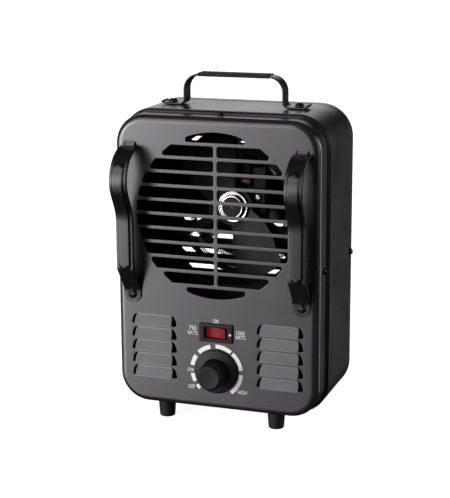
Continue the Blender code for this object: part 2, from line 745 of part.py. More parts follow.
def build_motor(shop, steel, copper, bare, plated, chrome, grey):
    z = GRILLE_Z
    stack = box(-26.0, 26.0, STATOR_FRONT, STATOR_REAR, z - 20.0, z + 34.0)
    stator = shop.part("motor_stator", stack, steel, (0.0, STATOR_FRONT, z))
    shop.cut(
        stator,
        round_hole(0.0, z, 14.3, 50.0, 90.0, 28),
        box(-15.0, 15.0, 50.0, 90.0, z + 16.6, z + 24.6),
        *[round_hole(s * BOLT_X, BOLT_Z, 2.0, 50.0, 90.0, 12) for s in (-1, 1)],
    )
    winding = box(-12.5, 12.5, STATOR_FRONT - 3.7, STATOR_REAR + 3.7, z + 17.4, z + 41.2)
    winding = shop.part("motor_winding", winding, copper, (0.0, STATOR_FRONT, z + 29.0))
    shop.cut(winding, box(-20.0, 20.0, STATOR_FRONT - GAP, STATOR_REAR + GAP, z + 24.3, z + 34.3))
    for name, front, back, flip in (
        ("bearing_front", STATOR_FRONT - 3.8, STATOR_FRONT - GAP, -1),
        ("bearing_rear", STATOR_REAR + GAP, STATOR_REAR + 3.8, 1),
    ):
        outline = [(-25.0, z - 6.0), (-12.0, z - 11.0), (12.0, z - 11.0), (25.0, z - 6.0)]
        outline += [(25.0, z + 12.5), (-25.0, z + 12.5)]
        plate = shop.part(name, prism_y(outline, front, back), bare, (0.0, front, z))
        shop.cut(
            plate,
            round_hole(0.0, z, SHAFT_RADIUS + GAP, 50.0, 95.0),
            *[round_hole(s * BOLT_X, BOLT_Z, 2.0, 50.0, 95.0, 12) for s in (-1, 1)],
        )
    profile = [(SHAFT_RADIUS, 45.6), (SHAFT_RADIUS, STATOR_FRONT + 0.6), (13.8, STATOR_FRONT + 0.6)]
    profile += [(13.8, STATOR_REAR - 0.6), (SHAFT_RADIUS, STATOR_REAR - 0.6), (SHAFT_RADIUS, 86.0)]
    shop.part("motor_rotor", moved(turned(profile, 24), 0.0, 0.0, z), steel, (0.0, STATOR_FRONT, z))
    spider_front, spider_back = 58.3, STATOR_FRONT - 3.8 - GAP
    plate = prism_y(rounded_rectangle(27.0, z - 14.0, z + 15.5, 6.0, 4), spider_front, spider_back)
    spider = shop.part("motor_spider", plate, bare, (0.0, spider_front, z))
    for angle in (90.0, 210.0, 330.0):
        arm = [
            box(13.0, 84.0, spider_front + 0.05, spider_back - 0.05, -4.0, 4.0),
            box(82.8, 84.0, spider_front + 0.1, REAR_PAN_FACE - SHEET - GAP, -4.0, 4.0),
        ]
        for solid in arm:
            shop.weld(spider, moved(spun(solid, angle), 0.0, 0.0, z))
    shop.cut(
        spider,
        round_hole(0.0, z, 9.0, 50.0, 75.0, 20),
        *[round_hole(s * BOLT_X, BOLT_Z, 2.0, 50.0, 75.0, 12) for s in (-1, 1)],
    )
    for side, word in ((-1, "left"), (1, "right")):
        at = (side * BOLT_X, spider_front - GAP, BOLT_Z)
        screw(shop, f"motor_bolt_{word}", plated, at, None, 3.6, 2.2, 1.7, STATOR_REAR + 6.0 - spider_front)
    hub = [(8.8, 44.6), (9.6, 45.2), (11.2, 44.8), (11.6, 46.4), (13.6, 46.8), (15.0, 48.4)]
    hub += [(15.0, FAN_DEPTH - 1.1), (6.0, FAN_DEPTH - 1.1), (6.0, 54.8)]
    hub = shop.part("fan_hub", moved(turned(hub, 32), 0.0, 0.0, z), chrome, (0.0, FAN_DEPTH, z))
    shop.cut(hub, round_hole(0.0, z, SHAFT_RADIUS + GAP, 45.3, 60.0))


def build_fan(shop, grey):
    z = GRILLE_Z
    blade = []
    for k in range(7):
        t = k / 6
        radius = 14.0 + (FAN_RADIUS - 14.0) * t
        span = math.radians(44.0 - 19.0 * min(1.0, t * 1.25))
        rake = math.radians(14.0 * (1 - min(1.0, t * 1.25)))
        ring = []
        top, bottom = [], []
        for i in range(6):
            u = -1 + 2 * i / 5
            shrink = 1.0 if k < 6 else 0.86
            a = rake + u * span * shrink
            lean = -u * BLADE_PITCH * t + 1.2 * (u * u - 1) * t - 3.0 * t
            x, h = radius * math.cos(a), radius * math.sin(a)
            top.append((x, FAN_DEPTH + lean - 0.45, h))
            bottom.append((x, FAN_DEPTH + lean + 0.45, h))
        ring = top + bottom[::-1]
        blade.append(ring)
    blade = loft(blade)
    disc = turned([(18.0, FAN_DEPTH - 0.8), (18.0, FAN_DEPTH + 0.75)], 32)
    fan = shop.part("fan_blades", moved(disc, 0.0, 0.0, z), grey, (0.0, FAN_DEPTH, z))
    for angle in BLADE_ANGLES:
        shop.weld(fan, moved(spun(blade, angle), 0.0, 0.0, z))
    shop.cut(fan, round_hole(0.0, z, 6.3, 40.0, 60.0, 20))


# ---------------------------------------------------------------- heater


def coil_points(ring, turns, step):
    """Return the centre line of a coil wound round a circle, left open at one side."""
    points = []
    total = turns * step
    for i in range(total + 1):
        along = math.radians(6.0 + 348.0 * i / total)
        wind = 2 * math.pi * i / step
        radius = ring + COIL_RADIUS * math.cos(wind)
        depth = COIL_DEPTH + COIL_RADIUS * math.sin(wind)
        points.append((radius * math.cos(along), depth, radius * math.sin(along)))
    return points


def build_heater(shop, ceramic, nichrome, bare):
    z = GRILLE_Z
    for number, ring in enumerate(COIL_RINGS, 1):
        name = f"heating_coil_{number}"
        curve = bpy.data.curves.new(name, "CURVE")
        curve.dimensions = "3D"
        curve.bevel_depth = WIRE_RADIUS * MM
        curve.bevel_resolution = 0
        curve.use_fill_caps = True
        points = coil_points(ring, 20 if number == 1 else 26, 6)
        spline = curve.splines.new("POLY")
        spline.points.add(len(points) - 1)
        for slot, (x, d, h) in zip(spline.points, points):
            slot.co = (x * MM, (d - COIL_DEPTH) * MM, h * MM, 1.0)
        curve.materials.append(nichrome)
        obj = bpy.data.objects.new(name, curve)
        obj.location = (0.0, (COIL_DEPTH - DEPTH_MID) * MM, z * MM)
        shop.parts.objects.link(obj)
    bar_front = COIL_DEPTH + COIL_RADIUS + WIRE_RADIUS + GAP
    for number, angle in enumerate(BAR_ANGLES, 1):
        bar = moved(spun(box(42.0, 68.0, bar_front, bar_front + 6.0, -4.5, 4.5), angle), 0.0, 0.0, z)
        a = math.radians(angle)
        at = (55.0 * math.cos(a), bar_front, z + 55.0 * math.sin(a))
        shop.part(f"ceramic_bar_{number}", bar, ceramic, at)
    front = bar_front + 6.0 + GAP
    disc = turned([(71.0, front), (71.0, front + SHEET)], 40)
    frame = shop.part("heater_frame", moved(disc, 0.0, 0.0, z), bare, (0.0, front, z))
    shop.cut(frame, round_hole(0.0, z, 66.0, 60.0, 99.0, 40))
    for angle in BAR_ANGLES:
        arm = box(43.0, 67.5, front + 0.05, front + SHEET - 0.05, -3.5, 3.5)
        leg = box(69.4, 70.4, front + 0.1, REAR_PAN_FACE - SHEET - GAP, -3.5, 3.5)
        for solid in (arm, leg):
            shop.weld(frame, moved(spun(solid, angle), 0.0, 0.0, z))


# ---------------------------------------------------------------- electrical odds and feet


def build_electrics(shop, plastic, ceramic, plated):
    outline = [(3.6, 96.5), (3.6, REAR_REACH), (7.6, REAR_REACH), (9.4, 105.2)]
    outline += [(9.4, REAR_PAN_FACE + GAP), (7.0, REAR_PAN_FACE + GAP), (7.0, 96.5)]
    inlet = moved(turned(outline, 20, "Y", True), CORD_X, 0.0, CORD_Z)
    shop.part("cord_inlet", inlet, plastic, (CORD_X, REAR_PAN_FACE, CORD_Z))
    block = box(8.0, 40.0, 88.0, REAR_PAN_FACE - SHEET - GAP, 38.0, 54.0)
    block = shop.part("terminal_block", block, ceramic, (24.0, 95.0, 46.0))
    shop.cut(block, *[round_hole(x, 46.0, 2.6, 80.0, 94.0, 12) for x in (14.0, 24.0, 34.0)])
    base = SHELF_Z + GAP
    body = moved(turned([(9.0, base), (9.0, base + 4.0), (7.0, base + 7.5)], 20, "Z"), -60.0, 62.0, 0.0)
    shop.part("thermal_cutout", body, plated, (-60.0, 62.0, base))
    base = PAN_BOTTOM - CASE_STEP + SHEET + GAP
    body = box(-62.0, -34.0, 52.0, 70.0, base, base + 22.0)
    shop.part("tip_over_switch", body, plastic, (-48.0, 61.0, base))


def build_feet(shop, rubber):
    rows = (("front", FOOT_FRONT_DEPTH, PAN_BOTTOM), ("rear", FOOT_REAR_DEPTH, PAN_BOTTOM - CASE_STEP))
    for word, depth, ground in rows:
        top = ground - GAP
        profile = [(6.0, 0.0), (7.2, 1.2), (8.2, top), (3.0, top), (3.0, ground + 2.4), (2.2, ground + 3.4)]
        for side, name in ((-1, "left"), (1, "right")):
            foot = moved(turned(profile, 20, "Z"), side * FOOT_X, depth, 0.0)
            shop.part(f"foot_{word}_{name}", foot, rubber, (side * FOOT_X, depth, 0.0))


def main():
    for obj in list(bpy.data.objects):
        bpy.data.objects.remove(obj, do_unlink=True)
    shop = Shop()
    paint = material("charcoal_enamel", (0.055, 0.054, 0.058), 0.38, 0.35)
    strap_paint = material("black_enamel", (0.03, 0.03, 0.032), 0.35, 0.3)
    bare = material("galvanised_sheet", (0.42, 0.43, 0.44), 0.42, 0.9)
    blade = material("rolled_steel", (0.30, 0.31, 0.32), 0.4, 0.9)
    plated = material("black_zinc_screw", (0.06, 0.06, 0.065), 0.3, 0.8)
    zinc = material("bright_zinc", (0.6, 0.6, 0.6), 0.3, 1.0)
    chrome = material("chrome_plate", (0.8, 0.8, 0.8), 0.1, 1.0)
    steel = material("laminated_steel", (0.25, 0.25, 0.26), 0.5, 0.9)
    copper = material("enamelled_copper", (0.65, 0.24, 0.09), 0.35, 0.9)
    rubber = material("black_rubber", (0.015, 0.015, 0.016), 0.7, 0.0)
    plastic = material("black_plastic", (0.02, 0.02, 0.021), 0.35, 0.0)
    red = material("red_rocker", (0.5, 0.01, 0.012), 0.2, 0.0)
    brass = material("brass", (0.7, 0.52, 0.25), 0.3, 1.0)
    ceramic = material("steatite_ceramic", (0.82, 0.79, 0.72), 0.55, 0.0)
    nichrome = material("nichrome_wire", (0.35, 0.31, 0.28), 0.4, 0.9)

    build_shell(shop, paint, strap_paint)
    for side, word in ((-1, "left"), (1, "right")):
        build_guard(shop, side, f"guard_bar_{word}", strap_paint)
        at = (side * GUARD_X, -GUARD_SHEET - 2 * GAP, GUARD_SCREW_Z)
        screw(shop, f"guard_screw_{word}", plated, at, None, 4.4, 2.4, 1.9, 9.0)
    build_handle(shop, strap_paint, rubber, plated)
    for row, depth, grow in (("front", 16.0, 0.0), ("rear", 95.4, CASE_STEP + REAR_STEP)):
        for word, angle in FLANGE_SCREWS if row == "front" else FLANGE_SCREWS[1:]:
            x, z = flange_point(angle, grow + GAP)
            screw(shop, f"{row}_flange_screw_{word}", plated, (x, depth, z), angle, 3.3, 2.2, 1.5, 6.0)
    build_controls(shop, plastic, red, brass, zinc)
    build_motor(shop, steel, copper, bare, zinc, chrome, blade)
    build_fan(shop, blade)
    build_heater(shop, ceramic, nichrome, bare)
    build_electrics(shop, plastic, ceramic, zinc)
    build_feet(shop, rubber)


main()
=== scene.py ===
"""Visual model of a portable fan-forced heater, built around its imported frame.

The stamped front pan, its guard bars, the stepped case, the carrying handle, the controls and
the works behind the grille are each built by a class of their own.  Lengths are millimetres,
(x, depth, z): x to the right of someone facing the grille, depth measured back from the flat
face of the front pan, z up from the floor.
"""

import logging
import math
from collections.abc import Callable, Iterable, Sequence
from dataclasses import dataclass, field
from enum import Enum

import bpy
import bmesh
from mathutils import Matrix, Vector
from mathutils.geometry import delaunay_2d_cdt


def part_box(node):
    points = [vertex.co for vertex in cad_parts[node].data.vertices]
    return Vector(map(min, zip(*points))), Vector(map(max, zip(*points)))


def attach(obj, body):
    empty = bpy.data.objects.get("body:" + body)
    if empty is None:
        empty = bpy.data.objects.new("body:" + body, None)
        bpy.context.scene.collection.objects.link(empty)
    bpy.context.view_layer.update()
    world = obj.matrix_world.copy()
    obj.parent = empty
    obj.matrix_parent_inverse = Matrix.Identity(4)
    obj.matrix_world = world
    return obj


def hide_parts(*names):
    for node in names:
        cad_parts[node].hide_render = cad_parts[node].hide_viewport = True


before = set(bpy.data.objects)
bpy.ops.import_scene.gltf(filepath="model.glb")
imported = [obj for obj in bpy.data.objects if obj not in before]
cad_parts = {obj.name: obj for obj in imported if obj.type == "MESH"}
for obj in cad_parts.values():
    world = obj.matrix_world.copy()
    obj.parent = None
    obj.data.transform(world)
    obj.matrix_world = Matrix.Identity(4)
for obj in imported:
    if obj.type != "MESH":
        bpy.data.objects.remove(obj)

logging.basicConfig(level=logging.INFO, format="%(message)s")
LOG = logging.getLogger("heater")

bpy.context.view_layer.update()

MM = 0.001
CASE_FRONT = 25.2
"""Depth of the case's front edge behind the face of the pan."""
FACE = CASE_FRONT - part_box("case_wrap")[0][1] / MM
"""Depth that lies at the frame's origin."""

Flat = tuple[float, float]
Spot = tuple[float, float, float]
Colour = tuple[float, float, float]
Tree = bpy.types.NodeTree
Node = bpy.types.Node
Socket = bpy.types.NodeSocket


class Body(str, Enum):
    """The bodies that move against each other."""

    HOUSING = "housing"
    FAN = "fan"
    KNOB = "knob"
    ROCKER = "rocker"


class Grain(Enum):
    """The pattern that mixes a finish's two colours."""

    CLOUD = "soft mottling"
    DRAWN_X = "rolling marks along x"
    LAYERS_Y = "thin sheets stacked front to back"
    TURNS_X = "wire wound round the x axis"


# ---------------------------------------------------------------- finishes


@dataclass(frozen=True)
class Finish:
    """A surface finish, drawn wholly by nodes in the piece's own coordinates.

    Attributes:
        name: name of the material.
        colour: main colour, linear.
        shade: second colour, mixed in by the grain.
        slot: the record's slot the finish belongs to, if it has one; not used by the script.
        rough: lowest and highest roughness.
        metal: metallic amount.
        grain: pattern of the colour.
        grain_mm: size of the pattern.
        relief_mm: size of the fine relief.
        relief_depth: height of the fine relief in millimetres.
        specular: specular level.
        tint: tint of the reflections.
        glow: emission strength in the main colour.
    """

    name: str
    colour: Colour
    shade: Colour
    slot: str | None = None
    rough: Flat = (0.35, 0.45)
    metal: float = 0.0
    grain: Grain = Grain.CLOUD
    grain_mm: float = 30.0
    relief_mm: float = 1.2
    relief_depth: float = 0.01
    specular: float = 0.5
    tint: Colour = (1.0, 1.0, 1.0)
    glow: float = 0.0

    def material(self) -> bpy.types.Material:
        """Return the finish's material, making it the first time."""
        title = f"finish_{self.name}"
        found = bpy.data.materials.get(title)
        if found:
            return found
        made = bpy.data.materials.new(title)
        made.use_nodes = True
        tree = made.node_tree
        shader = tree.nodes["Principled BSDF"]
        shader.inputs["Metallic"].default_value = self.metal
        shader.inputs["Specular IOR Level"].default_value = self.specular
        shader.inputs["Specular Tint"].default_value = (*self.tint, 1.0)
        if self.glow:
            shader.inputs["Emission Color"].default_value = (*self.colour, 1.0)
            shader.inputs["Emission Strength"].default_value = self.glow
        place = tree.nodes.new("ShaderNodeTexCoord").outputs["Object"]
        self.paint(tree, shader, place)
        self.roughen(tree, shader, place)
        self.emboss(tree, shader, place)
        made.diffuse_color = (*self.colour, 1.0)
        return made

    def paint(self, tree: Tree, shader: Node, place: Socket) -> None:
        """Mix the two colours by the grain."""
        mix = tree.nodes.new("ShaderNodeMix")
        mix.data_type = "RGBA"
        mix.inputs["A"].default_value = (*self.colour, 1.0)
        mix.inputs["B"].default_value = (*self.shade, 1.0)
        tree.links.new(self.pattern(tree, place), mix.inputs["Factor"])
        tree.links.new(mix.outputs["Result"], shader.inputs["Base Color"])

    def pattern(self, tree: Tree, place: Socket) -> Socket:
        """Return the socket that carries the grain from 0 to 1."""
        scale = 1.0 / (self.grain_mm * MM)
        if self.grain in (Grain.LAYERS_Y, Grain.TURNS_X):
            wave = tree.nodes.new("ShaderNodeTexWave")
            wave.bands_direction = "Y" if self.grain is Grain.LAYERS_Y else "X"
            wave.inputs["Scale"].default_value = scale * 0.3
            wave.inputs["Distortion"].default_value = 0.25
            wave.inputs["Detail Scale"].default_value = 2.0
            tree.links.new(place, wave.inputs["Vector"])
            return wave.outputs["Fac"]
        noise = tree.nodes.new("ShaderNodeTexNoise")
        noise.inputs["Scale"].default_value = scale
        noise.inputs["Detail"].default_value = 4.0
        noise.inputs["Roughness"].default_value = 0.55
        if self.grain is Grain.DRAWN_X:
            pull = tree.nodes.new("ShaderNodeMapping")
            pull.inputs["Scale"].default_value = (0.04, 1.0, 1.0)
            tree.links.new(place, pull.inputs["Vector"])
            place = pull.outputs["Vector"]
        tree.links.new(place, noise.inputs["Vector"])
        spread = tree.nodes.new("ShaderNodeMapRange")
        spread.inputs["From Min"].default_value = 0.32
        spread.inputs["From Max"].default_value = 0.68
        tree.links.new(noise.outputs["Fac"], spread.inputs["Value"])
        return spread.outputs["Result"]

    def roughen(self, tree: Tree, shader: Node, place: Socket) -> None:
        """Vary the roughness in soft patches."""
        noise = tree.nodes.new("ShaderNodeTexNoise")
        noise.inputs["Scale"].default_value = 1.0 / (self.grain_mm * 0.6 * MM)
        noise.inputs["Detail"].default_value = 5.0
        tree.links.new(place, noise.inputs["Vector"])
        spread = tree.nodes.new("ShaderNodeMapRange")
        spread.inputs["From Min"].default_value = 0.3
        spread.inputs["From Max"].default_value = 0.7
        spread.inputs["To Min"].default_value = self.rough[0]
        spread.inputs["To Max"].default_value = self.rough[1]
        tree.links.new(noise.outputs["Fac"], spread.inputs["Value"])
        tree.links.new(spread.outputs["Result"], shader.inputs["Roughness"])

    def emboss(self, tree: Tree, shader: Node, place: Socket) -> None:
        """Raise the fine relief of the surface."""
        noise = tree.nodes.new("ShaderNodeTexNoise")
        noise.inputs["Scale"].default_value = 1.0 / (self.relief_mm * MM)
        noise.inputs["Detail"].default_value = 2.0
        tree.links.new(place, noise.inputs["Vector"])
        bump = tree.nodes.new("ShaderNodeBump")
        bump.inputs["Strength"].default_value = 1.0
        bump.inputs["Distance"].default_value = self.relief_depth * MM
        tree.links.new(noise.outputs["Fac"], bump.inputs["Height"])
        tree.links.new(bump.outputs["Normal"], shader.inputs["Normal"])


CHARCOAL = Finish(
    "charcoal_enamel", (0.018, 0.017, 0.019), (0.013, 0.0125, 0.0138), "painted", (0.26, 0.32),
    grain_mm=45.0, relief_mm=1.4, relief_depth=0.0015, specular=0.6, tint=(1.0, 0.955, 0.985),
)
BLACK_ENAMEL = Finish(
    "black_enamel", (0.009, 0.009, 0.0095), (0.006, 0.006, 0.0065), "black_enamel", (0.25, 0.30),
    grain_mm=30.0, relief_mm=1.4, relief_depth=0.0015, specular=0.38,
)
# Matt near black: on the fan shroud and divider shelf this is painted shade for the dark inside of the
# case; the winding tape uses the same black.
BLACK_AND_PAINTED_SHADE = Finish(
    "matt_black_and_painted_shade", (0.008, 0.008, 0.008), (0.005, 0.005, 0.005), "black_enamel", (0.85, 0.95),
    grain_mm=10.0, relief_mm=0.6, relief_depth=0.01, specular=0.08,
)
# Steel darkened to near black: painted shade for the motor and heater frame deep inside the case.
STEEL_IN_PAINTED_SHADE = Finish(
    "steel_in_painted_shade", (0.010, 0.010, 0.0105), (0.006, 0.006, 0.0065), "rolled_steel", (0.5, 0.6), 0.1,
    grain_mm=6.0, relief_mm=0.4, relief_depth=0.006, specular=0.12,
)
# Blade steel darkened to near black: painted shade for the fan lying in the dark behind the grille.
BLADE = Finish(
    "blade_steel_in_painted_shade", (0.010, 0.0103, 0.011), (0.007, 0.0073, 0.008), "rolled_steel", (0.42, 0.5),
    grain=Grain.DRAWN_X, grain_mm=2.0, relief_mm=0.4, relief_depth=0.004, specular=0.14,
)
BLACK_ZINC = Finish(
    "black_zinc", (0.008, 0.008, 0.0085), (0.005, 0.005, 0.0052), "black_screws", (0.28, 0.36), 0.2,
    grain_mm=2.0, relief_mm=0.4, relief_depth=0.004,
)
BRIGHT_ZINC = Finish(
    "bright_zinc", (0.60, 0.60, 0.585), (0.50, 0.50, 0.50), "bright_zinc", (0.2, 0.32), 1.0,
    grain_mm=3.0, relief_mm=0.5, relief_depth=0.004,
)
CHROME = Finish(
    "chrome_plate", (0.50, 0.50, 0.51), (0.46, 0.46, 0.47), "chrome_plate", (0.05, 0.10), 1.0,
    grain_mm=6.0, relief_mm=2.0, relief_depth=0.002,
)
LAMINATED = Finish(
    "laminated_steel", (0.24, 0.24, 0.25), (0.07, 0.07, 0.075), "laminated_steel", (0.4, 0.55), 0.9,
    grain=Grain.LAYERS_Y, grain_mm=0.8, relief_mm=0.5, relief_depth=0.01,
)
COPPER = Finish(
    "enamelled_copper", (0.14, 0.045, 0.018), (0.05, 0.015, 0.007), "copper_winding", (0.3, 0.4), 0.7,
    grain=Grain.TURNS_X, grain_mm=0.7, relief_mm=0.4, relief_depth=0.01,
)
RUBBER = Finish(
    "black_rubber", (0.010, 0.010, 0.0105), (0.014, 0.014, 0.014), "black_rubber", (0.5, 0.65),
    grain_mm=4.0, relief_mm=0.35, relief_depth=0.012, specular=0.15,
)
BLACK_PLASTIC = Finish(
    "black_plastic", (0.010, 0.010, 0.0105), (0.013, 0.013, 0.0135), "black_plastic", (0.34, 0.44),
    grain_mm=3.0, relief_mm=0.25, relief_depth=0.006, specular=0.13,
)
# Red rocker plastic; its faint emission is a painted glow that makes the rocker brighter than the lamps
# alone light it.
RED_ROCKER_WITH_PAINTED_GLOW = Finish(
    "red_rocker", (0.15, 0.002, 0.004), (0.11, 0.0015, 0.003), "red_rocker", (0.16, 0.22),
    grain_mm=4.0, relief_mm=1.5, relief_depth=0.002, specular=0.12, tint=(1.0, 0.35, 0.4), glow=0.06,
)
BRASS = Finish(
    "turned_brass", (0.70, 0.50, 0.22), (0.60, 0.42, 0.18), "brass_fittings", (0.2, 0.32), 1.0,
    grain=Grain.DRAWN_X, grain_mm=0.8, relief_mm=0.3, relief_depth=0.004,
)
STEATITE = Finish(
    "steatite_ceramic", (0.15, 0.14, 0.125), (0.10, 0.094, 0.084), "steatite", (0.45, 0.6),
    grain_mm=3.0, relief_mm=0.4, relief_depth=0.01,
)
NICHROME = Finish(
    "nichrome_wire", (0.07, 0.062, 0.056), (0.035, 0.032, 0.034), "nichrome", (0.4, 0.5), 0.8,
    grain_mm=8.0, relief_mm=0.3, relief_depth=0.004,
)
INK = Finish(
    "white_print", (0.80, 0.80, 0.80), (0.70, 0.70, 0.70), None, (0.45, 0.6),
    grain_mm=1.5, relief_mm=0.3, relief_depth=0.004,
)
SHAFT_END = Finish(
    "shaft_end", (0.12, 0.035, 0.015), (0.06, 0.02, 0.010), "laminated_steel", (0.4, 0.6), 0.4,
    grain_mm=0.8, relief_mm=0.3, relief_depth=0.01,
)


# ---------------------------------------------------------------- outlines


def rounded_rectangle(half: float, low: float, high: float, radius: float, steps: int = 24) -> list[Flat]:
    """Return (x, z) points counter-clockwise round a rectangle with rounded corners.

    Args:
        half: half the width.
        low: bottom.
        high: top.
        radius: radius of the corners.
        steps: divisions of each corner.

    Returns:
        The points, from the middle of the right side's top corner.
    """
    points = []
    for sx, sz, start in ((1, 1, 0), (-1, 1, 90), (-1, -1, 180), (1, -1, 270)):
        cx = sx * (half - radius)
        cz = high - radius if sz > 0 else low + radius
        for i in range(steps + 1):
            angle = math.radians(start + 90.0 * i / steps)
            points.append((cx + radius * math.cos(angle), cz + radius * math.sin(angle)))
    return points


def filleted(points: Sequence[Flat], radius: float, steps: int = 6) -> list[Flat]:
    """Return the polygon with every corner rounded to the radius."""
    rounded = []
    count = len(points)
    for i in range(count):
        here = Vector(points[i])
        to_last = (Vector(points[i - 1]) - here).normalized()
        to_next = (Vector(points[(i + 1) % count]) - here).normalized()
        half = to_last.angle(to_next) / 2
        reach = radius / math.tan(half)
        centre = here + (to_last + to_next).normalized() * (radius / math.sin(half))
        first = here + to_last * reach - centre
        last = here + to_next * reach - centre
        for k in range(steps + 1):
            rounded.append(tuple(centre + first.lerp(last, k / steps).normalized() * radius))
    return rounded


def circle(radius: float, count: int, x: float = 0.0, z: float = 0.0) -> list[Flat]:
    """Return (x, z) points counter-clockwise round a circle."""
    turn = 2 * math.pi / count
    return [(x + radius * math.cos(turn * i), z + radius * math.sin(turn * i)) for i in range(count)]


def swollen(outline: Sequence[Flat], grow: float) -> list[Flat]:
    """Return a counter-clockwise outline moved outward by the amount."""
    moved = []
    count = len(outline)
    for i in range(count):
        last, here, after = Vector(outline[i - 1]), Vector(outline[i]), Vector(outline[(i + 1) % count])
        a, b = (here - last).normalized(), (after - here).normalized()
        normal = Vector((a.y + b.y, -a.x - b.x))
        if normal.length < 1e-9:
            normal = Vector((a.y, -a.x))
        normal.normalize()
        spread = max(0.35, normal.dot(Vector((a.y, -a.x))))
        moved.append(tuple(here + normal * (grow / spread)))
    return moved


def inside(point: Flat, outline: Sequence[Flat]) -> bool:
    """Return whether a flat point lies within an outline."""
    odd = False
    x, z = point
    for i in range(len(outline)):
        (x0, z0), (x1, z1) = outline[i - 1], outline[i]
        if (z0 > z) != (z1 > z) and x < (x1 - x0) * (z - z0) / (z1 - z0) + x0:
            odd = not odd
    return odd


def smooth_step(t: float) -> float:
    """Return 0 to 1 along a smooth ramp."""
    t = min(1.0, max(0.0, t))
    return t * t * (3.0 - 2.0 * t)


# ---------------------------------------------------------------- mesh building


class Skin:
    """The corners and faces of one piece, in millimetres."""

    def __init__(self) -> None:
        """Start with nothing."""
        self.points: list[Spot] = []
        self.faces: list[tuple[int, ...]] = []

    def ring(self, points: Iterable[Spot]) -> list[int]:
        """Add points and return their numbers."""
        start = len(self.points)
        self.points.extend(tuple(p) for p in points)
        return list(range(start, len(self.points)))

    def band(self, a: Sequence[int], b: Sequence[int], around: bool = True) -> None:
        """Join two equal rings with quads."""
        for i in range(len(a) if around else len(a) - 1):
            j = (i + 1) % len(a)
            self.faces.append((a[i], a[j], b[j], b[i]))

    def loft(self, rings: Sequence[Sequence[Spot]], closed: bool = False, capped: bool = True
             ) -> list[list[int]]:
        """Skin a run of equal rings.

        Args:
            rings: the rings of points.
            closed: whether the run joins its own start.
            capped: whether open ends get a flat cap.

        Returns:
            The point numbers of each ring.
        """
        made = [self.ring(points) for points in rings]
        for a, b in zip(made, made[1:] + made[:1] if closed else made[1:]):
            self.band(a, b)
        if capped and not closed:
            self.faces.append(tuple(made[0]))
            self.faces.append(tuple(made[-1]))
        return made

    def turned(self, profile: Sequence[Flat], count: int, axis: str = "Y", at: Spot = (0.0, 0.0, 0.0),
               closed: bool = False) -> None:
        """Revolve (radius, along) points about an axis through a point."""
        rings = []
        for radius, along in profile:
            ring = []
            for c, s in circle(radius, count):
                x, d, z = {"Y": (c, along, s), "Z": (c, s, along), "X": (along, c, s)}[axis]
                ring.append((x + at[0], d + at[1], z + at[2]))
            rings.append(ring)
        self.loft(rings, closed)

    def sheet(self, edge: Sequence[int], holes: Sequence[Sequence[int]]) -> None:
        """Fill the flat region between an edge and the holes in it, all at one depth."""
        loops = [list(edge), *[list(hole) for hole in holes]]
        owner = [number for number, loop in enumerate(loops) for _ in loop]
        back = [corner for loop in loops for corner in loop]
        flat = [Vector((self.points[i][0], self.points[i][2])) for i in back]
        bounds, start = [], 0
        for loop in loops:
            bounds += [(start + k, start + (k + 1) % len(loop)) for k in range(len(loop))]
            start += len(loop)
        outlines = [[(self.points[i][0], self.points[i][2]) for i in loop] for loop in loops]
        corners, _, faces, origin, _, _ = delaunay_2d_cdt(flat, bounds, [], 1, 1e-5)
        for face in faces:
            owners = {owner[origin[corner][0]] for corner in face}
            middle = sum((corners[corner] for corner in face), Vector((0.0, 0.0))) / len(face)
            number = owners.pop()
            if not owners and number and inside(tuple(middle), outlines[number]):
                continue
            self.faces.append(tuple(back[origin[corner][0]] for corner in face))

    def swept(self, path: Sequence[Spot], outline: Callable[[int], Sequence[Flat]], side: Spot) -> None:
        """Sweep flat outlines along a path that stays square to one direction.

        Args:
            path: points of the path.
            outline: gives the (side, out) outline at each path point.
            side: the direction the outline's first number runs along.
        """
        rings = []
        across = Vector(side)
        for i, point in enumerate(path):
            run = Vector(path[min(len(path) - 1, i + 1)]) - Vector(path[max(0, i - 1)])
            out = run.normalized().cross(across).normalized()
            rings.append([tuple(Vector(point) + across * u + out * v) for u, v in outline(i)])
        self.loft(rings)

    def tube(self, path: Sequence[Spot], radius: float, sides: int = 8) -> None:
        """Run a round tube along a path."""
        rings = []
        normal = Vector((0.123, 0.456, 0.881)).normalized()
        for i, point in enumerate(path):
            run = (Vector(path[min(len(path) - 1, i + 1)]) - Vector(path[max(0, i - 1)])).normalized()
            normal = (normal - run * normal.dot(run)).normalized()
            other = run.cross(normal)
            rings.append([tuple(Vector(point) + (normal * math.cos(a) + other * math.sin(a)) * radius)
                          for a in (2 * math.pi * k / sides for k in range(sides))])
        self.loft(rings)


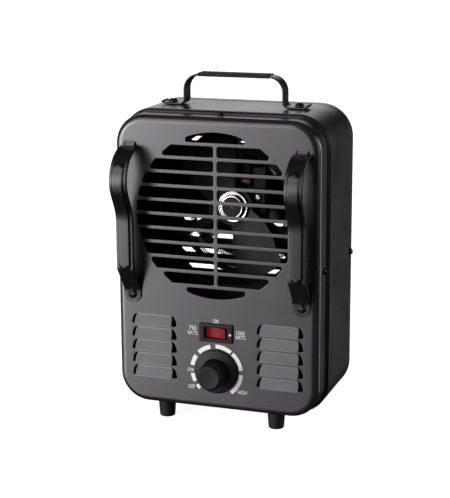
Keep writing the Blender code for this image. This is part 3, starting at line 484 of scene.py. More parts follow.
@dataclass
class Piece:
    """One visible piece.

    Attributes:
        name: object name.
        finish: surface finish.
        body: the body it rides on.
        stands_for: CAD nodes it replaces.
        at: its origin, (x, depth, z).
        sharp: angle in degrees above which an edge stays sharp.
        bevel: radius worked onto sharp edges.
    """

    name: str
    finish: Finish
    body: Body = Body.HOUSING
    stands_for: tuple[str, ...] = ()
    at: Spot = (0.0, 0.0, 0.0)
    sharp: float = 35.0
    bevel: float = 0.0
    skin: Skin = field(default_factory=Skin)

    def make(self) -> bpy.types.Object:
        """Turn the skin into an object that rides on its body.

        Returns:
            The finished object.
        """
        work = bmesh.new()
        corners = []
        for point in self.skin.points:
            corners.append(work.verts.new([(value - base) * MM for value, base in zip(point, self.at)]))
        for face in self.skin.faces:
            work.faces.new([corners[i] for i in dict.fromkeys(face)])
        bmesh.ops.recalc_face_normals(work, faces=work.faces)
        data = bpy.data.meshes.new(self.name)
        work.to_mesh(data)
        work.free()
        data.materials.append(self.finish.material())
        data.shade_smooth()
        data.set_sharp_from_angle(angle=math.radians(self.sharp))
        made = bpy.data.objects.new(self.name, data)
        made.location = (self.at[0] * MM, (self.at[1] - FACE) * MM, self.at[2] * MM)
        bpy.context.scene.collection.objects.link(made)
        self.ease(made)
        bpy.context.view_layer.update()
        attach(made, self.body.value)
        if self.stands_for:
            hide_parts(*self.stands_for)
        LOG.info("%s: %d corners", self.name, len(data.vertices))
        return made

    def ease(self, made: bpy.types.Object) -> None:
        """Round the sharp edges and weight the normals by face area."""
        if self.bevel:
            round_off = made.modifiers.new("edge_round", "BEVEL")
            round_off.width = self.bevel * MM
            round_off.segments = 3
            round_off.limit_method = "ANGLE"
            round_off.angle_limit = math.radians(30.0)
            round_off.use_clamp_overlap = True
        even = made.modifiers.new("even_normals", "WEIGHTED_NORMAL")
        even.keep_sharp = True


def dress(finish: Finish, *nodes: str, bevel: float = 0.0) -> None:
    """Give CAD nodes that are shown as they are a detailed finish and eased edges."""
    for node in nodes:
        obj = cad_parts[node]
        obj.data.materials.clear()
        obj.data.materials.append(finish.material())
        if bevel:
            weld = obj.modifiers.new("weld", "WELD")
            weld.merge_threshold = 1e-5
            round_off = obj.modifiers.new("edge_round", "BEVEL")
            round_off.width = bevel * MM
            round_off.segments = 2
            round_off.limit_method = "ANGLE"
            round_off.angle_limit = math.radians(40.0)
        LOG.info("%s: CAD solid in %s", node, finish.name)


# ---------------------------------------------------------------- sheet-metal shell


@dataclass
class Case:
    """The stamped shell: front pan, joining ring, wrap-round case and rear pan."""

    half_width: float = 95.0
    bottom: float = 15.0
    height: float = 267.0
    corner: float = 27.0
    edge_round: float = 6.5
    pan_depth: float = 22.5
    sheet: float = 1.0
    step: float = 3.0
    case_rear: float = 98.0
    rear_step: float = 0.2
    rear_front: float = 92.0
    rear_face: float = 103.0
    rear_round: float = 2.5
    cord_radius: float = 7.3
    cord_at: Flat = (62.0, 46.0)

    def contour(self, grow: float, depth: float) -> list[Spot]:
        """Return the case's outline grown all round, at a depth."""
        flat = rounded_rectangle(
            self.half_width + grow, self.bottom - grow, self.bottom + self.height + grow, self.corner + grow
        )
        return [(x, depth, z) for x, z in flat]

    def pan(self, skin: Skin, grow: float, face: float, rim: float, radius: float
            ) -> tuple[list[int], list[int]]:
        """Add a pan's rolled edge and wall.

        Args:
            skin: where the pan is added.
            grow: growth of the wall outside the front pan's.
            face: depth of the flat face.
            rim: depth of the open rim.
            radius: outer radius of the rolled edge.

        Returns:
            The loops that bound the outer and the inner flat face.
        """
        toward = 1.0 if rim > face else -1.0
        path = []
        for i in range(13):
            a = math.radians(90.0 * i / 12)
            path.append((grow - radius * (1 - math.sin(a)), face + toward * radius * (1 - math.cos(a))))
        lip = self.sheet / 2
        path.append((grow, rim - toward * lip))
        for i in range(1, 6):
            a = math.radians(180.0 * i / 6)
            path.append((grow - lip * (1 - math.cos(a)), rim - toward * lip * (1 - math.sin(a))))
        inner = radius - self.sheet
        path.append((grow - self.sheet, rim - toward * lip))
        for i in range(8, -1, -1):
            a = math.radians(90.0 * i / 8)
            start = face + toward * self.sheet
            shrink = inner * (1 - math.sin(a))
            path.append((grow - self.sheet - shrink, start + toward * inner * (1 - math.cos(a))))
        rings = [skin.ring(self.contour(g, d)) for g, d in path]
        for a, b in zip(rings, rings[1:]):
            skin.band(a, b)
        return rings[0], rings[-1]

    def punch(self, skin: Skin, outline: Sequence[Flat], face: float, toward: float, roll: float = 0.5
              ) -> tuple[list[int], list[int]]:
        """Add the wall of a hole with a rolled front edge and return its front and back loops."""
        rings = []
        for i in range(5):
            a = math.radians(90.0 * i / 4)
            depth = face + toward * roll * (1 - math.cos(a))
            grown = swollen(outline, roll * (1 - math.sin(a))) if i < 4 else outline
            rings.append(skin.ring((x, depth, z) for x, z in grown))
        rings.append(skin.ring((x, face + toward * self.sheet, z) for x, z in outline))
        for a, b in zip(rings, rings[1:]):
            skin.band(a, b)
        return rings[0], rings[-1]

    def joining_ring(self) -> None:
        """Build the stepped ring between the front pan and the case."""
        piece = Piece("stepped_ring", CHARCOAL, stands_for=("joining_ring",), sharp=50.0)
        low, high = -self.sheet - 0.3, self.step - self.sheet - 0.3
        path = [(low, 9.0)]
        for i in range(9):
            t = i / 8
            path.append((low + (high - low) * smooth_step(t), self.pan_depth + 0.1 + 2.7 * t))
        path += [(high, 44.0), (high - self.sheet, 44.0)]
        for i in range(8, -1, -1):
            t = i / 8
            path.append((low - self.sheet + (high - low) * smooth_step(t), self.pan_depth + 0.5 + 2.7 * t))
        path.append((low - self.sheet, 9.0))
        piece.skin.loft([self.contour(g, d) for g, d in path], closed=True)
        piece.make()

    def wrap(self) -> None:
        """Build the wrap-round case with its rolled front edge."""
        piece = Piece("case_shell", CHARCOAL, stands_for=("case_wrap",), sharp=50.0)
        grow, lip = self.step, self.sheet / 2
        path = []
        for i in range(7):
            a = math.radians(180.0 * i / 6)
            path.append((grow - lip + lip * math.cos(a), CASE_FRONT + lip - lip * math.sin(a)))
        # The wrap steps in at its rear edge, so that the rear pan slides over it and sits flush.
        tuck = self.sheet + 0.2
        inner, seam = grow - self.sheet, self.rear_front
        path += [(inner, seam - 3.0), (inner - tuck, seam - 1.4), (inner - tuck, self.case_rear),
                 (grow - tuck, self.case_rear), (grow - tuck, seam - 0.9), (grow - 0.1, seam - 0.3),
                 (grow, seam - 0.7)]
        piece.skin.loft([self.contour(g, d) for g, d in path], closed=True)
        piece.make()

    def rear_pan(self) -> None:
        """Build the rear pan with its rows of air slots."""
        piece = Piece("rear_pan", CHARCOAL, stands_for=("rear_panel",), at=(0.0, self.rear_face, 150.0),
                      sharp=50.0)
        grow = self.step + self.rear_step
        edge, back = self.pan(piece.skin, grow, self.rear_face, self.rear_front, self.rear_round)
        tall, slant, fillet = 2.1, 5.0, 0.7
        low_row, pitch = 121.5, 15.6
        rows = [(low_row + pitch * i, 72.0) for i in range(1, 4)]
        rows += [(low_row, 65.0), (low_row + 8 * pitch, 64.0), (low_row + 9 * pitch, 48.0)]
        holes = []
        for z, half in rows:
            short = half - slant
            corners = [(-short, z - tall), (short, z - tall), (half, z + tall), (-half, z + tall)]
            outline = filleted(corners, fillet)
            holes.append(self.punch(piece.skin, outline, self.rear_face, -1.0))
        cord = circle(self.cord_radius, 32, *self.cord_at)
        holes.append(self.punch(piece.skin, cord, self.rear_face, -1.0))
        piece.skin.sheet(edge, [front for front, _ in holes])
        piece.skin.sheet(back, [rear for _, rear in holes])
        piece.make()


@dataclass
class FrontPan:
    """The front of the heater: grille, louvres and the openings for the controls."""

    case: Case
    grille_z: float = 194.0
    grille_radius: float = 75.0
    rows: int = 10
    pitch: float = 12.86
    slot_height: float = 9.5
    centre_bar: float = 3.5
    fillet: float = 2.0
    lens_half: float = 27.3
    louvres: int = 5
    louvre_pitch: float = 12.3
    louvre_first: float = 90.0
    louvre_x: float = 59.8
    flap_half: float = 18.0
    hole_top: float = 17.1
    hole_half: float = 21.4
    louvre_height: float = 9.0
    lift: float = 4.6
    switch_z: float = 88.1
    knob_z: float = 51.7
    guard_x: float = 79.8
    guard_top: float = 254.6

    def slots(self) -> list[list[Flat]]:
        """Return the grille's outlines: ten split rows and a lens above and below them."""
        made = []
        for row in range(self.rows):
            middle = ((self.rows - 1) / 2 - row) * self.pitch
            low, high = middle - self.slot_height / 2, middle + self.slot_height / 2
            reach = [math.sqrt(self.grille_radius**2 - h * h) for h in (low, high)]
            outline = [(self.centre_bar / 2, low), (reach[0], low)]
            if low * high < 0:
                outline.append((self.grille_radius, 0.0))
            outline += [(reach[1], high), (self.centre_bar / 2, high)]
            half = [(x, self.grille_z + z) for x, z in filleted(outline, self.fillet)]
            made += [half, [(-x, z) for x, z in reversed(half)]]
        base = self.rows / 2 * self.pitch + (self.pitch - self.slot_height) / 2
        start = math.acos(self.lens_half / self.grille_radius)
        arc = [start + (math.pi - 2 * start) * i / 20 for i in range(21)]
        lens = [(self.grille_radius * math.cos(a), self.grille_radius * math.sin(a)) for a in arc]
        lens = filleted([(-self.lens_half, base), (self.lens_half, base)] + lens, 1.4, 4)
        made.append([(x, self.grille_z + z) for x, z in lens])
        made.append([(x, self.grille_z - z) for x, z in reversed(lens)])
        return made

    def louvre_places(self) -> list[Flat]:
        """Return the middle and the bottom edge of each louvre."""
        return [
            (side * self.louvre_x, self.louvre_first - row * self.louvre_pitch)
            for side in (-1, 1) for row in range(self.louvres)
        ]

    def louvre_hole(self, x: float, low: float) -> list[Flat]:
        """Return a louvre's opening, wider at the foot than at the hinge."""
        spread = self.hole_half - self.hole_top
        right = []
        for i in range(13):
            a = math.radians(90.0 * i / 12)
            right.append((self.hole_top + spread * math.cos(a), low + self.louvre_height * math.sin(a)))
        left = [(-u, z) for u, z in reversed(right)]
        return [(x + u, z) for u, z in right + left]

    def flap(self, skin: Skin, x: float, low: float, height: float, half: float, lift: float, thick: float
             ) -> None:
        """Add a tongue of sheet hinged at its top and pushed out at its foot.

        Args:
            skin: where the tongue is added.
            x: middle of its width.
            low: height of its foot.
            height: height of the opening it covers.
            half: half its width.
            lift: how far its foot stands off the sheet.
            thick: thickness of the sheet.
        """
        count = 20
        run = height + 1.2
        bend = 0.24 * run
        path = []
        for i in range(count + 1):
            s = run * i / count
            out = s * s / (2 * bend) if s < bend else s - bend / 2
            path.append((x, thick / 2 + 0.02 - lift * out / (run - bend / 2), low + run - s))

        def outline(i: int) -> list[Flat]:
            """Return the tongue's section at a step, narrower near the hinge."""
            t = i / count
            wide = half - 0.2 * half * (1 - math.sqrt(1 - (1 - min(1.0, 0.06 + t / 0.62)) ** 2))
            thin = thick * (1.0 if i < count else 0.7)
            return rounded_rectangle(wide, -thin / 2, thin / 2, min(0.42, thin * 0.45), 4)

        skin.swept(path, outline, (1.0, 0.0, 0.0))

    def build(self) -> None:
        """Build the pan as one sheet with its openings and louvres."""
        piece = Piece("front_pan", CHARCOAL, stands_for=("front_panel",), at=(0.0, 0.0, 150.0), sharp=50.0)
        skin = piece.skin
        edge, back = self.case.pan(skin, 0.0, 0.0, self.case.pan_depth, self.case.edge_round)
        outlines = self.slots()
        outlines += [self.louvre_hole(x, low) for x, low in self.louvre_places()]
        wide, tall = 14.6, 7.0
        corners = ((-wide, -tall), (wide, -tall), (wide, tall), (-wide, tall))
        outlines.append(filleted([(x, self.switch_z + z) for x, z in corners], 1.0))
        outlines.append(circle(5.4, 32, 0.0, self.knob_z))
        top = self.guard_top
        for side in (-1, 1):
            x = side * self.guard_x
            hood = ((-6.0, -0.6), (6.0, -0.6), (6.0, 0.9), (4.8, 3.0), (-4.8, 3.0), (-6.0, 0.9))
            outlines.append(filleted([(x + u, top + z) for u, z in hood], 0.4, 3))
        holes = [self.case.punch(skin, outline, 0.0, 1.0) for outline in outlines]
        skin.sheet(edge, [front for front, _ in holes])
        skin.sheet(back, [rear for _, rear in holes])
        for x, low in self.louvre_places():
            self.flap(skin, x, low, self.louvre_height, self.flap_half, self.lift, 1.0)
        for side in (-1, 1):
            self.flap(skin, side * self.guard_x, top + 0.5, 2.6, 4.7, 1.9, 0.8)
        piece.make()


# ---------------------------------------------------------------- guard bars and handle


@dataclass
class GuardBar:
    """A bowed stand-off bar: a strip with turned edges, a raised rib and a drilled foot."""

    side: int
    x: float = 79.8
    width: float = 16.5
    top: float = 254.3
    bow_z: float = 225.0
    bow: float = 31.0
    step_z: float = 189.0
    stand_off: float = 17.8
    knee: float = 144.0
    foot: float = 122.5
    screw_z: float = 118.2
    sheet: float = 1.2
    flange: float = 2.4
    rib_half: float = 5.2
    rib_low: float = 144.6
    rib_high: float = 242.6
    rib_rise: float = 1.9

    @property
    def name(self) -> str:
        """Return which bar it is."""
        return "left" if self.side < 0 else "right"

    def reach(self, z: float) -> float:
        """Return how far the bar's front stands off the pan at a height."""
        flat = self.sheet + 0.3
        if z >= self.bow_z:
            rise = (z - self.bow_z) / (self.top + 0.35 - self.bow_z)
            return self.bow * math.sqrt(max(0.0, 1 - rise * rise))
        if z >= self.step_z:
            t = (self.bow_z - z) / (self.bow_z - self.step_z)
            return self.stand_off + (self.bow - self.stand_off) * 0.5 * (1 + math.cos(math.pi * t))
        ease = 1.2
        slope = (self.stand_off - flat) / (self.knee - self.foot)

        def blend(gap: float) -> float:
            """Return the gap where it is positive and 0 where it isn't, with a soft corner."""
            return (gap + math.sqrt(gap * gap + ease * ease)) / 2

        sloped = self.stand_off - slope * blend(self.knee - z)
        return flat + blend(sloped - flat) if sloped - flat < 6 else sloped

    def path(self) -> list[Spot]:
        """Return the middle line of the bar's face from the top down."""
        x = self.side * self.x
        span = self.top + 0.3 - self.bow_z
        heights = [self.bow_z + span * math.cos(math.radians(a)) for a in range(5, 91, 3)]
        low = self.screw_z - self.width / 2
        count = 96
        heights += [self.bow_z - (self.bow_z - low) * i / count for i in range(1, count + 1)]
        return [(x, -self.reach(z), z) for z in heights]

    def rib(self, u: float, z: float) -> float:
        """Return the height of the raised rib at a point of the face."""
        end = min(max(z, self.rib_low + self.rib_half), self.rib_high - self.rib_half)
        away = math.hypot(u, z - end) - self.rib_half
        return self.rib_rise * smooth_step((0.7 - away) / 1.5)

    def section(self, z: float) -> list[Flat]:
        """Return the bar's outline at a height, as (x, outward) points."""
        reach = self.reach(z)
        half = self.width / 2
        below = self.screw_z - z
        if below > 0:
            half = math.sqrt(max(0.04, half * half - below * below))
        leg = self.sheet
        if reach > 4.0:
            leg = self.flange
        corner = min(1.7, 0.5 + max(0.0, leg - self.sheet) * 0.4, half * 0.8)
        thick = self.sheet
        inner = max(0.1, corner - thick)
        outer = [(half, -leg + 0.25), (half, -corner - (leg - corner) * 0.5)]
        for i in range(7):
            a = math.radians(90.0 * i / 6)
            outer.append((half - corner + corner * math.cos(a), -corner + corner * math.sin(a)))
        flat = half - corner
        marks = [0.79, 0.73, 0.70, 0.67, 0.64, 0.61, 0.58, 0.55, 0.52, 0.25, 0.0]
        wide = self.width / 2
        face = [(wide * m, self.rib(wide * m, z)) for m in marks]
        face = [(min(u, flat * 0.98), rise if u < flat else 0.0) for u, rise in face]
        right = outer + face
        left = [(-u, v) for u, v in reversed(right[:-1])]
        under = half - thick
        back = [(-half + 0.25, -leg), (-under, -leg)]
        dip = -thick
        for i in range(5):
            a = math.radians(90.0 * i / 4)
            back.append((-under + inner - inner * math.cos(a), min(dip, dip - inner + inner * math.sin(a))))
        back += [(-under * 0.4, dip), (0.0, dip)]
        back += [(-u, v) for u, v in reversed(back[:-1])]
        return right + left + back

    def build(self) -> None:
        """Build the bar and stand it for its node."""
        piece = Piece(f"guard_{self.name}", BLACK_ENAMEL, stands_for=(f"guard_bar_{self.name}",),
                      at=(self.side * self.x, 0.0, self.screw_z), sharp=50.0)
        path = self.path()
        rings = []
        for i, point in enumerate(path):
            run = Vector(path[min(len(path) - 1, i + 1)]) - Vector(path[max(0, i - 1)])
            out = run.normalized().cross(Vector((1.0, 0.0, 0.0))).normalized()
            if out.y > 0:
                out = -out
            rings.append([(point[0] + u, point[1] + out.y * v, point[2] + out.z * v)
                          for u, v in self.section(point[2])])
        piece.skin.loft(rings)
        # The tab that hooks into the pan.
        mid = self.side * self.x
        piece.skin.loft([[(mid - 4.4, d, self.top + z), (mid + 4.4, d, self.top + z),
                          (mid + 4.4, d, self.top + z + 1.0), (mid - 4.4, d, self.top + z + 1.0)]
                         for d, z in ((-3.0, 0.1), (2.6, 0.1))])
        piece.make()


@dataclass
class Handle:
    """The strap handle with its ribbed sleeve."""

    depth: float = 56.5
    half_span: float = 47.6
    half_foot: float = 68.8
    screw_x: float = 60.2
    width: float = 15.6
    top: float = 314.0
    foot: float = 285.3
    sheet: float = 1.7
    bend: float = 14.0
    foot_bend: float = 5.0
    grip_half: float = 34.0
    grip_ribs: int = 22

    def path(self) -> list[Spot]:
        """Return the strap's middle line from the right toe to the left."""
        low, high = self.foot + self.sheet / 2, self.top - self.sheet / 2
        leg = self.half_span - self.sheet / 2
        toe = ((0.0, 2.2), (0.8, 1.25), (1.8, 0.55), (3.0, 0.12), (4.4, 0.0))
        right = [(self.half_foot - back, low + rise) for back, rise in toe]
        right.append((self.screw_x - 5.0, low))
        for i in range(13):
            a = math.radians(-90.0 - 90.0 * i / 12)
            r = self.foot_bend
            right.append((leg + r + r * math.cos(a), low + r + r * math.sin(a)))
        for i in range(21):
            a = math.radians(90.0 * i / 20)
            r = self.bend
            right.append((leg - r + r * math.cos(a), high - r + r * math.sin(a)))
        both = right + [(-x, z) for x, z in reversed(right)]
        return [(x, self.depth, z) for x, z in both]

    def build(self) -> None:
        """Build the strap and the sleeve."""
        strap = Piece("carry_strap", BLACK_ENAMEL, stands_for=("handle_strap",),
                      at=(0.0, self.depth, self.foot), sharp=60.0)
        half, thick = self.width / 2, self.sheet / 2
        section = rounded_rectangle(half, -thick, thick, 0.7, 4)
        strap.skin.swept(self.path(), lambda i: section, (0.0, 1.0, 0.0))
        strap.make()

        grip = Piece("grip_sleeve", RUBBER, stands_for=("handle_grip",), at=(0.0, self.depth, self.top),
                     sharp=60.0)
        middle = self.top - self.sheet / 2
        steps = self.grip_ribs * 6
        rings = []
        for i in range(steps + 1):
            x = -self.grip_half + 2 * self.grip_half * i / steps
            wave = 0.5 - 0.5 * math.cos(2 * math.pi * self.grip_ribs * i / steps)
            shrink = 0.5 if i in (0, steps) else 0.0
            half_w = half + 0.35 + 0.2 * wave - shrink
            low, high = middle - 1.5 - 0.1 * wave + shrink, middle + 1.45 + 0.5 * wave - shrink
            ring = rounded_rectangle(half_w, low, high, 1.2 - shrink, 6)
            rings.append([(x, self.depth + u, z) for u, z in ring])
        grip.skin.loft(rings)
        grip.make()


# ---------------------------------------------------------------- screws


@dataclass
class Screw:
    """A domed screw with a cross recess, standing for one CAD node."""

    node: str
    head: float = 4.4
    rise: float = 2.4

    def build(self, at: Spot, facing: Spot, finish: Finish = BLACK_ZINC, spin: float = 20.0) -> None:
        """Build the screw.

        Args:
            at: middle of the head's seat.
            facing: the direction the head looks.
            finish: surface finish.
            spin: turn of the recess in degrees.
        """
        piece = Piece(f"{self.node}_head", finish, stands_for=(self.node,), at=at, sharp=40.0)
        axis = Vector(facing).normalized()
        u = Vector((0.0, 0.0, 1.0)) if abs(axis.z) < 0.9 else Vector((0.0, 1.0, 0.0))
        u = (u - axis * u.dot(axis)).normalized()
        v = axis.cross(u)
        c, s = math.cos(math.radians(spin)), math.sin(math.radians(spin))
        u, v = u * c + v * s, v * c - u * s
        base = Vector(at)
        rings = []
        spokes = 64
        steps = 20
        for k in range(steps + 1):
            t = max(0.03, k / steps)
            ring = []
            for i in range(spokes):
                a = 2 * math.pi * i / spokes
                x, y = self.head * t * math.cos(a), self.head * t * math.sin(a)
                dome = self.rise * (1 - t**2.6) if t < 1 else 0.0
                arm = min(abs(x), abs(y))
                along = max(abs(x), abs(y))
                inner = smooth_step((self.head * 0.17 - arm) / (self.head * 0.07) + 0.5)
                inner *= smooth_step((self.head * 0.60 - along) / (self.head * 0.12) + 0.5)
                dome -= inner * self.rise * 0.75 * (1 - 0.45 * along / self.head)
                ring.append(tuple(base + u * x + v * y + axis * (dome + 0.35 * (1 if t < 1 else 0))))
            rings.append(ring)
        rings.append([tuple(base + (u * math.cos(a) + v * math.sin(a)) * self.head)
                      for a in (2 * math.pi * i / spokes for i in range(spokes))])
        shank = [[tuple(base + (u * math.cos(a) + v * math.sin(a)) * self.head * 0.42 + axis * deep)
                  for a in (2 * math.pi * i / spokes for i in range(spokes))] for deep in (0.0, -5.0)]
        piece.skin.loft(rings[:-2] + rings[-1:] + shank)
        piece.make()


# ---------------------------------------------------------------- controls


@dataclass
class Switch:
    """The snap-in rocker switch."""

    z: float = 87.8
    bezel: Flat = (32.4, 17.2)
    rocker: Flat = (20.0, 9.4)
    pivot: float = 3.6
    tilt: float = 9.0

    def build(self) -> None:
        """Build the frame, the rocker and the marker dot."""
        frame_piece = Piece("switch_frame", BLACK_PLASTIC, stands_for=("switch_housing",),
                            at=(0.0, 0.0, self.z), sharp=40.0)
        skin = frame_piece.skin
        w, h = self.bezel[0] / 2, self.bezel[1] / 2
        rim = ((0.0, -0.3, 1.2), (0.0, -1.1, 1.2), (0.15, -1.45, 1.1), (0.5, -1.75, 0.9), (1.2, -1.95, 0.7))
        ways = [(w - inset, h - inset, depth, radius) for inset, depth, radius in rim]
        ways += [(11.3, 5.8, -1.95, 0.5), (10.9, 5.4, -1.75, 0.4), (10.7, 5.2, -1.3, 0.3)]
        ways.append((10.7, 5.2, 11.0, 0.3))
        rings = [[(x, d, self.z + z) for x, z in rounded_rectangle(a, -b, b, r, 4)] for a, b, d, r in ways]
        made = skin.loft(rings, capped=False)
        skin.faces.append(tuple(made[-1]))
        shell = rounded_rectangle(14.2, -6.6, 6.6, 1.0, 4)
        body = [skin.ring([(x, d, self.z + z) for x, z in shell]) for d in (-0.3, 18.0)]
        skin.band(made[0], body[0])
        skin.band(body[0], body[1])
        skin.faces.append(tuple(body[1]))
        frame_piece.make()

        # The rocker's red finish carries a faint painted glow.
        rocker = Piece("rocker_cap", RED_ROCKER_WITH_PAINTED_GLOW, Body.ROCKER, ("switch_rocker",), (0.0, self.pivot, self.z),
                       sharp=40.0, bevel=0.3)
        half = self.rocker[0] / 2
        face = []
        for i in range(17):
            t = -1 + 2 * i / 16
            face.append((half * t, 3.4 + 1.2 * t * t))
        body_points = [(half, 1.0), (half * 0.5, -2.4), (-half * 0.5, -2.4), (-half, 1.0)]
        c, s = math.cos(math.radians(self.tilt)), math.sin(math.radians(self.tilt))
        outline = [(x * c - w * s, self.pivot - (x * s + w * c)) for x, w in face + body_points]
        high = self.rocker[1] / 2
        rocker.skin.loft([[(x, d, self.z + z) for x, d in outline] for z in (-high, high)])
        rocker.make()

        dot = Piece("switch_dot", INK, at=(14.4, -1.95, self.z - 0.4), sharp=40.0)
        dome = [(0.05, -2.35), (0.7, -2.3), (1.05, -2.15), (1.2, -1.95), (1.2, -1.85), (0.05, -1.85)]
        dot.skin.turned(dome, 24, at=(13.9, 0.0, self.z - 0.4))
        dot.make()


@dataclass
class Dial:
    """The thermostat knob and its printed scale."""

    z: float = 51.7
    skirt: float = 20.4
    grip: float = 12.4
    cap: float = 10.9
    length: float = 22.0
    ridges: int = 44

    def build(self) -> None:
        """Build the knob and print the scale."""
        knob = Piece("dial_knob", BLACK_PLASTIC, Body.KNOB, ("thermostat_knob",), (0.0, 0.0, self.z), 32.0)
        count = self.ridges * 6
        skin = knob.skin
        rings = []
        edge = ((0.5, -0.9), (0.0, -1.3), (0.0, -2.3), (0.25, -2.9), (0.8, -3.3), (1.6, -3.55))
        plain = [(self.skirt - inset, along) for inset, along in edge] + [(self.grip + 2.2, -4.0)]
        for radius, along in plain:
            rings.append([(x, along, z) for x, z in circle(radius, count, 0.0, self.z)])
        for radius, along, rise in (
            (self.grip + 0.7, -4.25, 0.0), (self.grip + 0.15, -4.9, 0.35), (self.grip - 0.1, -5.8, 0.6),
            (self.cap + 0.55, -self.length + 2.0, 0.6), (self.cap + 0.3, -self.length + 1.2, 0.35),
            (self.cap, -self.length + 0.75, 0.0),
        ):
            ring = []
            for i in range(count):
                a = 2 * math.pi * i / count
                r = radius + rise * (0.5 + 0.5 * math.cos(2 * math.pi * (i % 6) / 6))
                ring.append((r * math.cos(a), along, self.z + r * math.sin(a)))
            rings.append(ring)
        for inset, along in ((0.2, 0.35), (0.6, 0.1), (1.1, 0.0), (2.2, 0.12), (6.0, 0.3), (11.0, 0.35)):
            ring = circle(self.cap - inset, count, 0.0, self.z)
            rings.append([(x, -self.length + along, z) for x, z in ring])
        skin.loft(rings)
        knob.make()

        tick = Piece("dial_tick", BLACK_ZINC, Body.KNOB, at=(0.0, -3.6, self.z), sharp=40.0, bevel=0.1)
        a = math.radians(38.0)
        u, v = Vector((math.cos(a), math.sin(a))), Vector((-math.sin(a), math.cos(a)))
        corners = [u * r + v * w for r, w in ((16.2, -0.35), (19.2, -0.35), (19.2, 0.35), (16.2, 0.35))]
        tick.skin.loft([[(p.x, d, self.z + p.y) for p in corners] for d in (-3.4, -4.1)])
        tick.make()

        scale = Piece("dial_scale", INK, at=(0.0, 0.0, self.z), sharp=40.0)
        arcs = ((218, 228), (190, 209), (146, 171), (104, 136), (54, 92), (6.5, 49.5), (-54, -3))
        section = ((21.4, 0.2), (21.4, -0.06), (25.2, -0.06), (25.2, 0.2))
        for low, high in arcs:
            steps = max(3, int((high - low) / 2))
            rings = []
            for i in range(steps + 1):
                a = math.radians(low + (high - low) * i / steps)
                c, s = math.cos(a), math.sin(a)
                rings.append([(r * c, d, self.z + r * s) for r, d in section])
            scale.skin.loft(rings)
        scale.make()


@dataclass
class Print:
    """The plain words printed on the front pan."""

    words: tuple[tuple[str, float, float, float, float], ...] = (
        ("ON", -0.3, 98.7, 5.5, 3.7),
        ("750", -22.6, 90.6, 6.9, 3.8),
        ("WATTS", -22.8, 85.9, 9.4, 3.7),
        ("1500", 22.9, 89.6, 7.9, 3.7),
        ("WATTS", 22.8, 85.5, 9.3, 3.6),
        ("LOW", -24.6, 50.8, 6.3, 3.6),
        ("OFF", -24.0, 34.8, 6.4, 3.6),
        ("HIGH", 24.7, 34.0, 8.3, 3.7),
    )

    def build(self) -> None:
        """Set each word in plain letters, fitted to its width and height."""
        for number, (text, x, z, width, height) in enumerate(self.words, 1):
            curve = bpy.data.curves.new(f"word_{number}", "FONT")
            curve.body = text
            curve.align_x = "CENTER"
            curve.resolution_u = 4
            curve.extrude = 0.5
            setter = bpy.data.objects.new(f"word_{number}_set", curve)
            bpy.context.scene.collection.objects.link(setter)
            bpy.context.view_layer.update()
            graph = bpy.context.evaluated_depsgraph_get()
            flat = bpy.data.meshes.new_from_object(setter.evaluated_get(graph))
            bpy.data.objects.remove(setter, do_unlink=True)
            xs = [v.co.x for v in flat.vertices]
            ys = [v.co.y for v in flat.vertices]
            wide, tall = max(xs) - min(xs), max(ys) - min(ys)
            middle, base = (max(xs) + min(xs)) / 2, (max(ys) + min(ys)) / 2
            piece = Piece(f"print_{text.lower()}_{number}", INK, at=(x, 0.0, z), sharp=40.0)
            for corner in flat.vertices:
                across = x + (corner.co.x - middle) / wide * width
                up = z + (corner.co.y - base) / tall * height
                piece.skin.ring([(across, 0.1 if corner.co.z < 0 else -0.06, up)])
            piece.skin.faces = [tuple(p.vertices) for p in flat.polygons]
            bpy.data.meshes.remove(flat)
            piece.make()


# ---------------------------------------------------------------- fan, motor and heater


